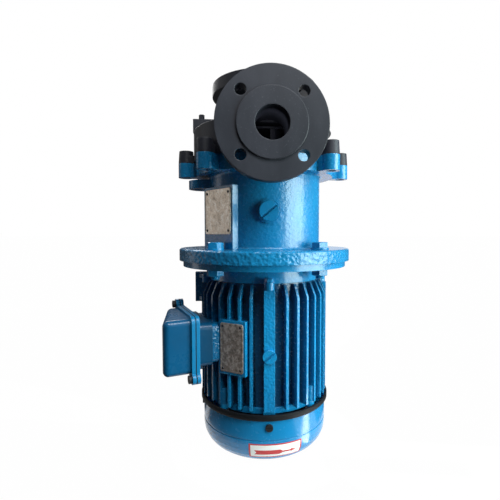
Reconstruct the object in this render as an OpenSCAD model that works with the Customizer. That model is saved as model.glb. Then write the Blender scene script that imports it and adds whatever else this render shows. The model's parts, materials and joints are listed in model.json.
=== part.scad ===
// Magnetic drive pump standing on its motor.
// +Z runs up the shaft axis, the discharge faces -Y, the motor feet face +Y
// and the terminal box sits on the -X side. z = 0 is the floor under the fan cover.

/* [Fan cover] */
// Outer radius of the fan cover wall
cover_r = 76; // [72:0.5:84]
// Height of the fan cover
cover_h = 60; // [56:0.5:68]
// Sheet thickness of the fan cover
cover_wall = 1.5; // [1.2:0.1:2.5]
// Rounding of the cover's bottom edge
cover_round = 25; // [20:0.5:27]
// How far the mouth lip stands out from the wall
lip_out = 2.5; // [1:0.1:4]
// Height of the mouth lip
lip_h = 4; // [2:0.5:6]
// Number of inlet slots in the cover's bottom
inlet_slots = 20; // [12:1:24]

/* [Motor] */
// Gap between the cover's mouth and the fins
frame_gap = 4; // [3:0.5:8]
// Length of the finned frame
frame_len = 138; // [125:1:180]
// Outer radius of the frame's barrel
barrel_r = 66; // [64:0.5:68]
// Radius over the fin tips
fin_r = 77; // [74:0.5:84]
// Fin thickness
fin_t = 3; // [2:0.25:4]
// Angle between fins
fin_pitch = 10; // [8:1:14]
// Width of the wide ribs
rib_w = 12; // [10:0.5:14]
// Radius of the stator core
stator_r = 60; // [57:0.5:61]
// Length of the stator core
stator_len = 78; // [60:1:90]
// Radius of the rotor core
rotor_r = 36; // [32:0.5:40]
// Air gap between rotor and stator
air_gap = 0.5; // [0.4:0.1:1]
// Height of the drive end shield
shield_h = 23; // [20:0.5:30]
// Radius of the motor flange
flange_r = 100; // [97:0.5:108]
// Thickness of the motor flange
flange_t = 7; // [6:0.5:9]
// Bolt circle of the motor flange
flange_pcd = 165; // [162:0.5:172]
// Thread of the flange bolts
flange_bolt_d = 10; // [8:0.5:10]

/* [Feet] */
// Height of the shaft axis over the foot plane
foot_h = 84; // [82:0.5:92]
// Half of the overall foot width
foot_half_w = 94; // [90:0.5:100]
// Distance across the foot holes
foot_a = 140; // [132:1:150]
// Distance along the foot holes
foot_b = 100; // [90:1:104]
// Distance from flange face to the first foot holes
foot_c = 45; // [43:1:54]
// Diameter of the foot holes
foot_hole_d = 10; // [8:0.5:12]
// Length of one foot pad along the axis
foot_pad_len = 42; // [34:1:44]
// Thickness of a foot pad
foot_pad_t = 12; // [10:0.5:14]

/* [Terminal box] */
// Turn of the box from the discharge side towards the left
box_turn = 69; // [64:1:74]
// Distance of the lid joint from the shaft axis
box_joint_r = 100; // [98:0.5:106]
// Height of the box centre over the frame's lower end
box_rise = 71; // [66:1:76]
// Width of the lid
lid_w = 76; // [70:1:80]
// Height of the lid along the shaft
lid_l = 60; // [56:1:66]
// Depth of the lid at its near side
lid_d = 33; // [28:0.5:38]
// Depth of the lid at its far side
lid_d_far = 16; // [14:0.5:26]
// Depth of the box base
base_depth = 19; // [18:0.5:24]
// Wall of the box and lid
box_wall = 3; // [2.5:0.25:4]
// Overhang of the joint flange
box_rim = 3; // [2:0.5:4]
// Thickness of the joint flanges
box_flange_t = 4; // [3:0.5:5]
// Thickness of the lid gasket
gasket_t = 1; // [0.6:0.1:1.6]

/* [Lantern] */
// Length of the lantern from motor flange to casing seat
lantern_len = 117; // [114:0.5:130]
// Radius of the lantern's lower flange
lantern_flange_r = 104.5; // [102:0.5:110]
// Thickness of the lower flange
lantern_flange_t = 14; // [11:0.5:16]
// Outer radius of the lantern barrel
lantern_r = 68.5; // [67:0.5:70]
// Wall of the lantern barrel
lantern_wall = 7; // [5.5:0.25:7.5]
// Radius of the casing seat ring
seat_r = 84; // [82:0.5:86]
// Thickness of the casing seat ring
seat_t = 17; // [15:0.5:19]
// Radius of the circle of the casing screws
boss_circle_r = 96; // [94:0.5:98]
// Radius of a screw boss
boss_r = 9.5; // [9:0.25:10]
// Turn of the nameplate pad from the discharge side towards the left
pad_turn = 53; // [50:1:56]

/* [Pump casing] */
// Rise of the discharge axis over the casing seat
outlet_rise = 21.5; // [21.5:0.5:25]
// Distance of the discharge face from the shaft axis
outlet_reach = 112; // [110:1:125]
// Radius of the discharge flange
outlet_flange_r = 56; // [53:0.5:58]
// Bore radius of the discharge
outlet_bore_r = 17; // [14:0.5:17]
// Wall of the discharge nozzle
outlet_wall = 4; // [3.5:0.25:4]
// Bolt circle of the discharge flange
outlet_pcd = 87; // [84:0.5:90]
// Height of the suction face over the casing seat
inlet_rise = 95; // [92:0.5:108]
// Radius of the suction flange
inlet_flange_r = 63.5; // [60:0.5:68]
// Bore radius of the suction
inlet_bore_r = 19; // [18:0.5:20]
// Bolt circle of the suction flange
inlet_pcd = 98; // [94:0.5:102]
// Thickness of both pipe flanges
pipe_flange_t = 13; // [11:0.5:14]
// Height of the raised sealing faces
raised_h = 2; // [1:0.5:3]
// Diameter of the pipe flange holes
pipe_hole_d = 11.5; // [9:0.5:12.5]
// Height of the casing's bottom flange
casing_flange_t = 9; // [8:0.5:10]
// Height of the casing's screw bosses
casing_boss_h = 15; // [14:0.5:17]
// Volute radius beside the discharge, where the spiral starts
volute_r = 76; // [73:0.5:77]
// Growth of the volute radius in each quarter turn
volute_step = 4; // [3:0.25:4.5]
// Height of the volute's top over the casing seat
volute_h = 46; // [45:0.5:52]
// Wall of the volute
volute_wall = 7; // [6:0.5:8]

/* [Wet end] */
// Outer radius of the impeller
impeller_r = 56; // [50:0.5:58]
// Number of impeller vanes
vanes = 6; // [5:1:7]
// Radius of the fixed spindle
spindle_r = 7; // [6:0.25:8]
// Outer radius of the impeller's magnet carrier
carrier_r = 39.5; // [38:0.25:39.5]
// Gap between carrier and containment shell
wet_gap = 2; // [1.5:0.1:2]
// Wall of the containment shell
shell_wall = 3; // [2.5:0.1:3]
// Gap between containment shell and outer magnets
dry_gap = 2; // [1.5:0.1:2]
// Thickness of the magnets
magnet_t = 5.5; // [4.5:0.25:5.5]
// Length of the magnets
magnet_len = 34; // [28:0.5:34]
// Number of magnet poles
poles = 10; // [8:2:12]

/* [Fits] */
// Radial clearance of running fits
run_gap = 0.05; // [0.02:0.01:0.1]
// Clearance between fixed pieces that seat in each other
seat_gap = 0.05; // [0.02:0.01:0.1]
// Clearance between moving and fixed pieces that don't touch
free_gap = 0.4; // [0.3:0.05:0.6]

/* [Hidden] */
$fn = 64;
// Cutting tools pass this far beyond the faces they cut
over = 1;

// Levels on the shaft axis
z_frame = cover_h + frame_gap;
z_shield = z_frame + frame_len;
z_face = z_shield + shield_h;
z_joint = z_face + lantern_len;
box_z = z_frame + box_rise;
z_outlet = z_joint + outlet_rise;
z_inlet = z_joint + inlet_rise;
z_volute = z_joint + volute_h;

// Paint and material colours
paint = "#1b6aa8";
plastic = "#44474f";
steel = "#b8bcc2";
dark = "#2a2c30";
ceramic = "#efe9dc";
copper = "#b4682f";
brass = "#c39a4a";
magnet_grey = "#6d7077";

// Flange bolts
bolt_r = flange_bolt_d / 2;
bolt_hole_r = bolt_r + 0.5;
bolt_head_r = 0.98 * flange_bolt_d;
bolt_head_h = 0.64 * flange_bolt_d;
nut_h = 0.8 * flange_bolt_d;
washer_r = flange_bolt_d;
washer_t = 2;
spigot_r = 65;
spigot_h = 3.5;
lantern_bore_r = lantern_r - lantern_wall;

// Ball bearings, two of one size
bearing_bore_r = 10;
bearing_r = 23.5;
bearing_w = 14;
race_r = 14;
ball_r = 3.9;
ball_count = 8;
ball_circle_r = (bearing_bore_r + bearing_r) / 2;
cup_race_r = 2 * ball_circle_r - race_r;
z_drive_bearing = z_shield - 2;
z_rear_bearing = z_frame - 10;
spring_t = 2;

// Shaft
shaft_r = 9.5;
core_shaft_r = 14;
fan_seat_r = 8;
z_shaft_end = z_frame - 40;
z_stator = z_frame + (frame_len - stator_len) / 2;
end_ring_h = 8;
coil_h = 18;

// Rear end shield
rear_rim_r = barrel_r + 3;
rear_rim_t = 6;
rear_hub_r = bearing_r + 6;
cover_post_w = 13;
cover_post_z = z_frame - 18;
cover_post_out = cover_r - cover_wall - free_gap;
cover_screw_r = 2;
cover_screw_head_r = 4.2;
shield_screw_r = 2.5;
shield_screw_head_r = 5;
shield_screw_head_h = 4;
screw_play = 0.3;
lug_circle_r = barrel_r + 6;
lug_r = 5.8;
lug_t = 6;
lug_rise = 2.5;
neck_r = lug_circle_r - shield_screw_head_r - 1;
rear_lug_circle_r = barrel_r + 3.5;
screw_depth = 14;
quarter = 90;

// Cooling fan
fan_r = 56;
fan_blades = 9;
fan_blade_t = 2.2;
fan_z = z_shaft_end + 1;
fan_h = 22;
fan_hub_r = 14;

// Wet end, measured outwards from the magnet carrier
shell_in_r = carrier_r + wet_gap;
shell_r = shell_in_r + shell_wall;
outer_magnet_r = shell_r + dry_gap;
cup_in_r = outer_magnet_r + magnet_t + seat_gap;
cup_wall = 5;
cup_r = cup_in_r + cup_wall;
shell_flange_r = 72;
shell_flange_t = 5;
shell_floor_t = 4;
socket_h = 10;
socket_r = 13;
thrust_t = 4;
thrust_r = 12;
bush_r = 12;
bush_len = 30;
carrier_depth = 54;
z_carrier = z_joint - carrier_depth;
z_carrier_top = z_joint + 8;
z_thrust = z_carrier - free_gap - thrust_t;
z_shell_floor = z_thrust - socket_h;
z_shell = z_shell_floor - shell_floor_t;
inner_magnet_r = carrier_r - 3;
z_magnet = z_carrier + 5;
carrier_cap_t = 3;
pole_fill = 0.86;
z_cup_floor = z_shell - 6;
shaft_end_len = z_cup_floor - z_face;
cup_floor_t = 6;
hub_r = 22;
z_hub = z_face + 7;
z_set_screw = (z_hub + z_cup_floor) / 2;
z_cup_top = z_joint - shell_flange_t - 8;
key_w = 6;
set_screw_r = 3;

// Impeller and suction throat
shroud_t = 3.5;
z_back_shroud = z_joint + 13;
vane_h = 14;
z_front_shroud = z_back_shroud + shroud_t + vane_h;
eye_r = inlet_bore_r + 4;
eye_wall = 3.5;
z_mouth = z_volute - 6;
z_chamber = z_front_shroud + shroud_t + 2;
mouth_h = 7;
mouth_r = eye_r + free_gap + 4;
z_eye_top = z_mouth + mouth_h - 1;
z_spider = z_mouth + mouth_h + 5;
spider_h = 12;
spider_r = 11;
spider_arm_t = 4;
hub_top = z_spider - thrust_t - free_gap;
vane_t = 3;
vane_inset = 0.6;
vane_arc_r = 34;

// Casing details
casing_screw_r = 3;
casing_insert_r = 4.6;
casing_insert_h = 10;
casing_head_r = 5;
casing_head_h = 6;
counterbore_r = 5.6;
counterbore_d = 7;
boss_angles = [for (k = [1 : 7]) 45 * k];
groove_r = 66;
o_ring_r = 1.5;
outlet_r = outlet_bore_r + outlet_wall;
outlet_raised_r = 35;
inlet_neck_r = inlet_bore_r + 10;
inlet_raised_r = 40;
step_z = z_joint + 36;
shoulder_r = volute_r + 1.5 * volute_step;
shoulder_in = 22;
chamber_edge = 6;
gusset_t = 5;
vent_r = 3.5;
vent_h = 9;
vent_circle_r = 77;
vent_depth = 12;
vent_block_w = 30;
vent_block_out = volute_r + 10;
z_vent = z_volute + 5;

// Lantern details
plug_boss_r = 13;
plug_boss_out = 3;
plug_z = z_face + 56;
plug_shank_r = 7;
plug_head_r = 10.7;
plug_head_t = 3;
plug_slot_w = 2.5;
plug_slot_turn = -40;
lug_z = z_joint - 31;
ear_t = 10;
ear_w = 40;
ear_reach = 93;
ear_hole_r = 5.5;
pad_r = 70;
pad_half_w = 28;
pad_low = z_face + lantern_flange_t - over;
pad_high = z_face + 85;
fillet = 3.5;

// Motor details
rib_plug_z = z_frame + 61;
rib_plug_r = 7.5;
plate_pad_turn = 31;
plate_pad_w = 34;
plate_pad_low = z_frame + 38;
plate_pad_high = z_frame + 98;
plate_pad_r = fin_r + 1.5;
fin_slant = 8;
foot_pad_in = 20;
foot_web_w = 9;
foot_web_in = 6;
foot_gusset_low = 40;

// Terminal box details
base_w = lid_w + 2 * box_rim;
base_l = lid_l + 2 * box_rim;
box_corner = 7;
ear_r = 6;
ear_x = base_w / 2 - 2;
ear_z = base_l / 2 + 1;
box_screw_r = 2.5;
box_screw_head_r = 4.5;
box_screw_head_h = 3.5;
base_joint_r = box_joint_r - gasket_t;
box_floor_r = base_joint_r - base_depth;
base_body_l = lid_l - 12;
lid_round = 6;
block_rise = 3;
gland_wall = 12;
gland_r = 9;
gland_nut_r = 11;
gland_len = 20;
gland_hex_h = 6;
gland_cap_h = 4;
gland_bore_r = 5;
block_w = 40;
block_l = 30;
block_t = 8;
stud_r = 2;
stud_h = 12;
stud_pitch = 12;

// Rounded quarter arc of a profile, from angle a0 to a1
function arc_points(centre, r, a0, a1, steps = 6) =
    [for (k = [0 : steps]) let (a = a0 + (a1 - a0) * k / steps) centre + r * [cos(a), sin(a)]];

// Solid disc or tube on the shaft axis
module tube(ro, ri, z0, h) {
    translate([0, 0, z0])
        difference() {
            cylinder(h = h, r = ro);
            if (ri > 0) translate([0, 0, -over]) cylinder(h = h + 2 * over, r = ri);
        }
}

// Turns what is modelled facing the discharge side towards the left
module facing(turn) {
    rotate([0, 0, -turn]) children();
}

// Copies at angles on a circle, the first one on the discharge side
module around(angles, r) {
    for (a = angles) rotate([0, 0, a]) translate([0, -r, 0]) children();
}

// Four places on a quarter pattern, turned by start
function quarters(start) = [for (k = [0 : 3]) start + quarter * k];

// Bar along -Y from distance r0 to r1
module outward(r, r0, r1, z) {
    translate([0, -r0, z]) rotate([90, 0, 0]) cylinder(h = r1 - r0, r = r);
}

// Block facing -Y from distance r0 to r1, of width w, between two heights
module outward_block(w, r0, r1, z0, z1) {
    translate([-w / 2, -r1, z0]) cube([w, r1 - r0, z1 - z0]);
}

// Plate facing -Y with rounded corners, from distance r0 to r1
module rounded_plate(w, l, corner, r0, r1, z) {
    translate([0, -r0, z])
        rotate([90, 0, 0])
            linear_extrude(height = r1 - r0)
                rounded_outline(w, l, corner);
}

module rounded_outline(w, l, corner) {
    square([w - 2 * corner, l], center = true);
    square([w, l - 2 * corner], center = true);
    for (sx = [-1, 1], sy = [-1, 1])
        translate([sx * (w / 2 - corner), sy * (l / 2 - corner)]) circle(r = corner);
}

// Half section of the volute wall with a rounded top edge
module volute_section(r, z0, z1, edge) {
    polygon(concat([[0, z0], [r, z0]], arc_points([r - edge, z1 - edge], edge, 0, 90), [[0, z1]]));
}

// Spiral body of four quarter turns, each wider by one step and tangent to the last
module volute_body(inset, z0, z1, edge) {
    half = volute_step / 2;
    centres = [[half, half], [-half, half], [-half, -half], [half, -half]];
    for (k = [0 : 3])
        translate(centres[k])
            rotate([0, 0, quarter * (k - 1)])
                rotate_extrude(angle = quarter)
                    volute_section(volute_r + k * volute_step - inset, z0, z1, edge);
    translate([0, 0, z0]) cylinder(h = z1 - z0, r = volute_step);
}

// Flange holes on a pitch circle, through a flange that lies on the shaft axis
module flange_holes(pcd, r, z0, h) {
    around(quarters(45), pcd / 2) translate([0, 0, z0 - over]) cylinder(h = h + 2 * over, r = r);
}

module pump_casing() {
    color(plastic)
        difference() {
            casing_outside();
            casing_inside();
        }
}

module casing_outside() {
    tube(seat_r, 0, z_joint, casing_flange_t);
    volute_body(0, z_joint, step_z, 0.5);
    volute_shoulder();
    vent_block();
    around(boss_angles, boss_circle_r) {
        translate([0, 0, z_joint]) cylinder(h = casing_boss_h, r1 = boss_r, r2 = boss_r - 1);
    }
    around(boss_angles, 0)
        outward_block(2 * boss_r - 4, seat_r - 12, boss_circle_r, z_joint, z_joint + casing_flange_t);
    // Suction neck and flange
    tube(inlet_neck_r, 0, z_volute - over, z_inlet - raised_h - z_volute + over);
    tube(inlet_flange_r, 0, z_inlet - raised_h - pipe_flange_t, pipe_flange_t);
    tube(inlet_raised_r, 0, z_inlet - raised_h - over, raised_h + over);
    for (a = quarters(0)) rotate([0, 0, a]) neck_gusset();
    // Discharge nozzle and flange
    outward(outlet_r, 0, outlet_reach - raised_h, z_outlet);
    outward(outlet_flange_r, outlet_reach - raised_h - pipe_flange_t, outlet_reach - raised_h, z_outlet);
    outward(outlet_raised_r, outlet_reach - raised_h - over, outlet_reach, z_outlet);
}

// Conical top of the volute
module volute_shoulder() {
    translate([0, 0, step_z - over / 2])
        cylinder(h = z_volute - step_z + over / 2, r1 = shoulder_r, r2 = shoulder_r - shoulder_in);
}

// Block on the left of the shoulder that holds the vent plug
module vent_block() {
    facing(quarter)
        outward_block(vent_block_w, shoulder_r - shoulder_in, vent_block_out, step_z - over, z_vent);
}

// Thin web between the suction neck and the volute's top
module neck_gusset() {
    reach = inlet_neck_r + 18;
    top = z_inlet - raised_h - pipe_flange_t;
    translate([gusset_t / 2, 0, 0])
        rotate([90, 0, -90])
            linear_extrude(height = gusset_t)
                polygon([[inlet_neck_r - 3, z_volute - 3], [reach, z_volute - 3], [reach, z_volute + 2],
                         [inlet_neck_r + 6, top + over], [inlet_neck_r - 3, top + over]]);
}

module casing_inside() {
    // Volute chamber and the chamber behind the impeller
    volute_body(volute_wall, z_joint + casing_flange_t, z_chamber, chamber_edge);
    translate([0, 0, z_joint - over]) cylinder(h = casing_flange_t + 2 * over, r = impeller_r + 2);
    // Suction throat with its mouth ring seat, and the spider that holds the spindle
    translate([0, 0, z_chamber - over])
        cylinder(h = z_mouth + mouth_h - z_chamber + over, r = mouth_r + seat_gap);
    difference() {
        translate([0, 0, z_mouth]) cylinder(h = z_inlet - z_mouth + over, r = inlet_bore_r);
        spider();
    }
    translate([0, 0, z_spider - over]) cylinder(h = spider_h - 2 + over, r = spindle_r + seat_gap);
    // Discharge bore, from the volute chamber out
    outward(outlet_bore_r, impeller_r + 4, outlet_reach + over, z_outlet);
    flange_holes(inlet_pcd, pipe_hole_d / 2, z_inlet - raised_h - pipe_flange_t, pipe_flange_t);
    for (a = quarters(45))
        translate([outlet_pcd / 2 * sin(a), 0, z_outlet + outlet_pcd / 2 * cos(a)])
            outward(pipe_hole_d / 2, outlet_reach - pipe_flange_t - raised_h - over, outlet_reach, 0);
    around(boss_angles, boss_circle_r)
        translate([0, 0, z_joint - over])
            cylinder(h = casing_insert_h + over, r = casing_insert_r + seat_gap);
    tube(groove_r + o_ring_r + 0.2, groove_r - o_ring_r - 0.2, z_joint - over,
         2 * o_ring_r + seat_gap + over);
    translate([-vent_circle_r, 0, z_vent - vent_depth])
        cylinder(h = vent_depth + over, r = vent_r + seat_gap);
}

module spider() {
    translate([0, 0, z_spider]) cylinder(h = spider_h, r = spider_r);
    for (a = [30, 150, 270])
        rotate([0, 0, a])
            translate([0, -spider_arm_t / 2, z_spider]) cube([inlet_bore_r + over, spider_arm_t, spider_h]);
}

module vent_plug() {
    color(plastic)
        translate([-vent_circle_r, 0, z_vent]) {
            cylinder(h = vent_h, r = vent_r, $fn = 6);
            translate([0, 0, seat_gap - vent_depth]) cylinder(h = vent_depth, r = vent_r);
        }
}

module casing_o_ring() {
    color(dark)
        translate([0, 0, z_joint + o_ring_r])
            rotate_extrude() translate([groove_r, 0]) circle(r = o_ring_r);
}

module mouth_ring() {
    color(ceramic) tube(mouth_r, eye_r + free_gap, z_mouth, mouth_h);
}

module front_thrust_ring() {
    color(ceramic) tube(thrust_r - 1, spindle_r + seat_gap, z_spider - thrust_t, thrust_t);
}

module rear_thrust_ring() {
    color(ceramic) tube(thrust_r, spindle_r + seat_gap, z_thrust, thrust_t);
}

module spindle() {
    low = z_shell_floor + 2;
    color(ceramic) translate([0, 0, low]) cylinder(h = z_spider + spider_h - 2 - low, r = spindle_r);
}

module impeller() {
    color(plastic)
        difference() {
            union() {
                tube(impeller_r, 0, z_back_shroud, shroud_t);
                front_shroud();
                vane_set();
                tube(bush_r + 4.5, 0, z_carrier_top, hub_top - z_carrier_top);
            }
            translate([0, 0, z_carrier_top - over])
                cylinder(h = hub_top - z_carrier_top + 2 * over, r = bush_r + seat_gap);
        }
}

// Shroud with a hole at the eye and the ring that runs in the mouth ring
module front_shroud() {
    rotate_extrude()
        polygon([[eye_r - eye_wall, z_front_shroud], [impeller_r, z_front_shroud],
                 [impeller_r, z_front_shroud + shroud_t - 1], [eye_r + 6, z_front_shroud + shroud_t],
                 [eye_r, z_front_shroud + shroud_t + 3], [eye_r, z_eye_top], [eye_r - eye_wall,
                                                                              z_eye_top]]);
}

// Backward curved vanes between the shrouds, each cut from a tube that is thicker than the gap
module vane_set() {
    for (k = [0 : vanes - 1])
        rotate([0, 0, k * 360 / vanes])
            intersection() {
                translate([vane_arc_r, 0, z_back_shroud + shroud_t / 2])
                    difference() {
                        cylinder(h = vane_h + shroud_t, r = vane_arc_r + vane_t / 2);
                        translate([0, 0, -over])
                            cylinder(h = vane_h + shroud_t + 2 * over, r = vane_arc_r - vane_t / 2);
                    }
                translate([0, 0, z_back_shroud]) cube([impeller_r + vane_arc_r, impeller_r, 2 * vane_h]);
                tube(impeller_r - vane_inset, bush_r + 2, z_back_shroud, 2 * vane_h);
            }
}

// Curved magnet tiles of one ring
module magnet_ring(r_in, grow, z0, h) {
    span = 360 / poles * pole_fill;
    extra = 180 / PI * grow / r_in;
    for (k = [0 : poles - 1])
        rotate([0, 0, k * 360 / poles - span / 2 - extra])
            rotate_extrude(angle = span + 2 * extra)
                translate([r_in - grow, z0]) square([magnet_t + 2 * grow, h]);
}

module magnet_carrier() {
    color(plastic)
        difference() {
            tube(carrier_r, bush_r + seat_gap, z_carrier, z_carrier_top - z_carrier);
            magnet_ring(inner_magnet_r - magnet_t, seat_gap, z_carrier - over,
                        z_magnet - z_carrier + magnet_len + over + seat_gap);
            tube(inner_magnet_r + 1, inner_magnet_r - magnet_t - 1, z_carrier - over, carrier_cap_t + over);
        }
}

module inner_magnets() {
    color(magnet_grey) magnet_ring(inner_magnet_r - magnet_t, 0, z_magnet, magnet_len);
}

module carrier_cap() {
    color(plastic)
        tube(inner_magnet_r + 1 - seat_gap, inner_magnet_r - magnet_t - 1 + seat_gap, z_carrier,
             carrier_cap_t);
}

module front_bush() {
    color(dark) tube(bush_r, spindle_r + run_gap, hub_top - bush_len, bush_len);
}

module rear_bush() {
    color(dark) tube(bush_r, spindle_r + run_gap, z_carrier, bush_len);
}

module containment_shell() {
    color("#8f8f88")
        difference() {
            union() {
                tube(shell_r, 0, z_shell, z_joint - z_shell);
                tube(shell_flange_r, 0, z_joint - shell_flange_t, shell_flange_t);
            }
            difference() {
                translate([0, 0, z_shell_floor])
                    cylinder(h = z_joint - z_shell_floor + over, r = shell_in_r);
                translate([0, 0, z_shell_floor - over]) cylinder(h = socket_h + over, r = socket_r);
            }
            translate([0, 0, z_shell_floor + 2]) cylinder(h = socket_h, r = spindle_r + seat_gap);
        }
}

module casing_inserts() {
    color(brass)
        around(boss_angles, boss_circle_r)
            tube(casing_insert_r, casing_screw_r + seat_gap, z_joint, casing_insert_h);
}

// Socket head screws sunk in the lantern's bosses from below
module casing_screws() {
    seat = z_joint - seat_t + counterbore_d;
    color(steel)
        around(boss_angles, boss_circle_r)
            difference() {
                union() {
                    translate([0, 0, seat])
                        cylinder(h = z_joint - seat + casing_insert_h - 1, r = casing_screw_r);
                    translate([0, 0, seat - casing_head_h]) cylinder(h = casing_head_h, r = casing_head_r);
                }
                translate([0, 0, seat - casing_head_h - over])
                    cylinder(h = casing_head_h / 2 + over, r = casing_screw_r, $fn = 6);
            }
}

module lantern() {
    color(paint)
        difference() {
            lantern_outside();
            lantern_inside();
        }
}

// Revolved body: lower flange, barrel and seat ring joined by cove fillets
module lantern_outside() {
    low = z_face + lantern_flange_t;
    high = z_joint - seat_t;
    rotate_extrude()
        polygon(concat(
            [[0, z_face], [lantern_flange_r, z_face], [lantern_flange_r, low - 1.5],
             [lantern_flange_r - 1.5, low]],
            arc_points([lantern_r + fillet, low + fillet], fillet, 270, 180),
            arc_points([lantern_r + fillet, high - fillet], fillet, 180, 90),
            [[seat_r, high], [seat_r, z_joint], [0, z_joint]]));
    around(boss_angles, boss_circle_r) translate([0, 0, high]) cylinder(h = seat_t, r = boss_r);
    around(boss_angles, 0) outward_block(2 * boss_r - 4, seat_r - 12, boss_circle_r, high, z_joint);
    outward(plug_boss_r, lantern_bore_r + 2, lantern_r + plug_boss_out, plug_z);
    facing(pad_turn) outward_block(2 * pad_half_w, pad_r - 20, pad_r, pad_low, pad_high);
    side_ear();
}

// Flat ear on the left of the barrel, under the seat ring
module side_ear() {
    translate([-ear_reach + ear_w / 2, 0, lug_z])
        difference() {
            union() {
                cylinder(h = ear_t, r = ear_w / 2);
                translate([0, -ear_w / 2, 0])
                    cube([ear_reach - ear_w / 2 - lantern_bore_r + 12, ear_w, ear_t]);
            }
            translate([-ear_w / 2 + 2 * ear_hole_r, 0, -over])
                cylinder(h = ear_t + 2 * over, r = ear_hole_r);
        }
}

module lantern_inside() {
    translate([0, 0, z_face - over]) cylinder(h = lantern_len + 2 * over, r = lantern_bore_r);
    translate([0, 0, z_face - over]) cylinder(h = spigot_h + over + seat_gap, r = spigot_r + seat_gap);
    translate([0, 0, z_joint - shell_flange_t])
        cylinder(h = shell_flange_t + over, r = shell_flange_r + seat_gap);
    flange_holes(flange_pcd, bolt_hole_r, z_face, lantern_flange_t);
    around(boss_angles, boss_circle_r) translate([0, 0, z_joint - seat_t - over]) {
        cylinder(h = seat_t + 2 * over, r = casing_screw_r + 0.3);
        cylinder(h = counterbore_d + over, r = counterbore_r);
    }
    outward(plug_shank_r + seat_gap, lantern_bore_r - over, lantern_r + plug_boss_out + over, plug_z);
}

// Slotted round plug: shank from r0 to r1, head on r1
module slotted_plug(shank_r, head_r, head_t, r0, r1, z) {
    difference() {
        union() {
            outward(shank_r, r0, r1 + over / 2, z);
            outward(head_r, r1, r1 + head_t, z);
        }
        translate([0, -r1 - head_t, z])
            rotate([0, plug_slot_turn, 0])
                cube([3 * head_r, head_t, plug_slot_w], center = true);
    }
}

module lantern_plug() {
    color(paint)
        slotted_plug(plug_shank_r, plug_head_r, plug_head_t, lantern_bore_r,
                     lantern_r + plug_boss_out, plug_z);
}

module outer_magnet_hub() {
    color(steel)
        difference() {
            union() {
                tube(hub_r, 0, z_hub, z_cup_floor - z_hub);
                tube(cup_r, 0, z_cup_floor - cup_floor_t, cup_floor_t);
                tube(cup_r, cup_in_r, z_cup_floor - over, z_cup_top - z_cup_floor + over);
            }
            translate([0, 0, z_hub - over])
                cylinder(h = z_cup_floor - z_hub + 2 * over, r = shaft_r + seat_gap);
            translate([-key_w / 2 - seat_gap, 0, z_hub - over])
                cube([key_w + 2 * seat_gap, shaft_r + 2.5, z_cup_floor - z_hub + 2 * over]);
            outward(set_screw_r + seat_gap, 0, hub_r + over, z_set_screw);
        }
}

module outer_magnets() {
    color(magnet_grey) magnet_ring(outer_magnet_r, 0, z_magnet, magnet_len);
}

module hub_key() {
    low = z_hub + 4;
    color(steel)
        translate([-key_w / 2, shaft_r - 3.5, low])
            cube([key_w, 6 - seat_gap, z_face + shaft_end_len - 4 - low]);
}

module hub_set_screw() {
    color(dark) outward(set_screw_r, shaft_r + seat_gap, hub_r - 1, z_set_screw);
}

module flange_bolts() {
    top = z_face + lantern_flange_t + washer_t;
    low = z_face - flange_t - nut_h - 4;
    color(steel)
        around(quarters(45), flange_pcd / 2) {
            translate([0, 0, low]) cylinder(h = top - low + over, r = bolt_r);
            translate([0, 0, top]) cylinder(h = bolt_head_h, r = bolt_head_r, $fn = 6);
        }
}

module flange_washers() {
    color(steel)
        around(quarters(45), flange_pcd / 2)
            tube(washer_r, bolt_hole_r, z_face + lantern_flange_t, washer_t);
}

module flange_nuts() {
    color(steel)
        around(quarters(45), flange_pcd / 2)
            translate([0, 0, z_face - flange_t - nut_h])
                difference() {
                    cylinder(h = nut_h, r = bolt_head_r, $fn = 6);
                    translate([0, 0, -over]) cylinder(h = nut_h + 2 * over, r = bolt_r + seat_gap);
                }
}

// End shield with the motor flange, its bearing seat and its screw lugs
module drive_end_shield() {
    pocket = z_drive_bearing + bearing_w + spring_t;
    color(paint)
        difference() {
            union() {
                rotate_extrude()
                    polygon(concat(
                        [[0, z_shield], [neck_r, z_shield]],
                        arc_points([neck_r + fillet, z_face - flange_t - fillet], fillet, 180, 90),
                        [[flange_r, z_face - flange_t], [flange_r, z_face], [spigot_r, z_face],
                         [spigot_r, z_face + spigot_h], [0, z_face + spigot_h]]));
                tube(stator_r, stator_r - 6, z_shield - 5, 5 + over);
                tube(rear_hub_r, 0, z_drive_bearing, z_shield - z_drive_bearing + over);
                around(quarters(0), lug_circle_r)
                    translate([0, 0, z_shield - lug_t]) cylinder(h = lug_t + lug_rise, r = lug_r);
                around(quarters(0), 0)
                    outward_block(2 * lug_r, neck_r - fillet, lug_circle_r, z_shield, z_shield + lug_rise);
            }
            translate([0, 0, z_drive_bearing - over])
                cylinder(h = pocket - z_drive_bearing + over, r = bearing_r + seat_gap);
            tube(spigot_r - 14, rear_hub_r + 4, z_shield - over, shield_h - 8);
            translate([0, 0, pocket - over]) cylinder(h = shield_h + spigot_h, r = core_shaft_r + 2);
            flange_holes(flange_pcd, bolt_hole_r, z_face - flange_t, flange_t);
            around(quarters(0), lug_circle_r)
                translate([0, 0, z_shield - lug_t - over])
                    cylinder(h = lug_t + lug_rise + 2 * over, r = shield_screw_r + screw_play);
        }
}

module drive_shield_screws() {
    color(steel)
        around(quarters(0), lug_circle_r) {
            translate([0, 0, z_shield - lug_t - screw_depth])
                cylinder(h = screw_depth + lug_t + lug_rise + over, r = shield_screw_r);
            translate([0, 0, z_shield + lug_rise])
                cylinder(h = shield_screw_head_h, r = shield_screw_head_r, $fn = 6);
        }
}

module shaft_seal() {
    low = z_drive_bearing + bearing_w + spring_t;
    color(dark) tube(core_shaft_r + 2 - seat_gap, bearing_bore_r + free_gap, low + 1, 8);
}

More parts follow.
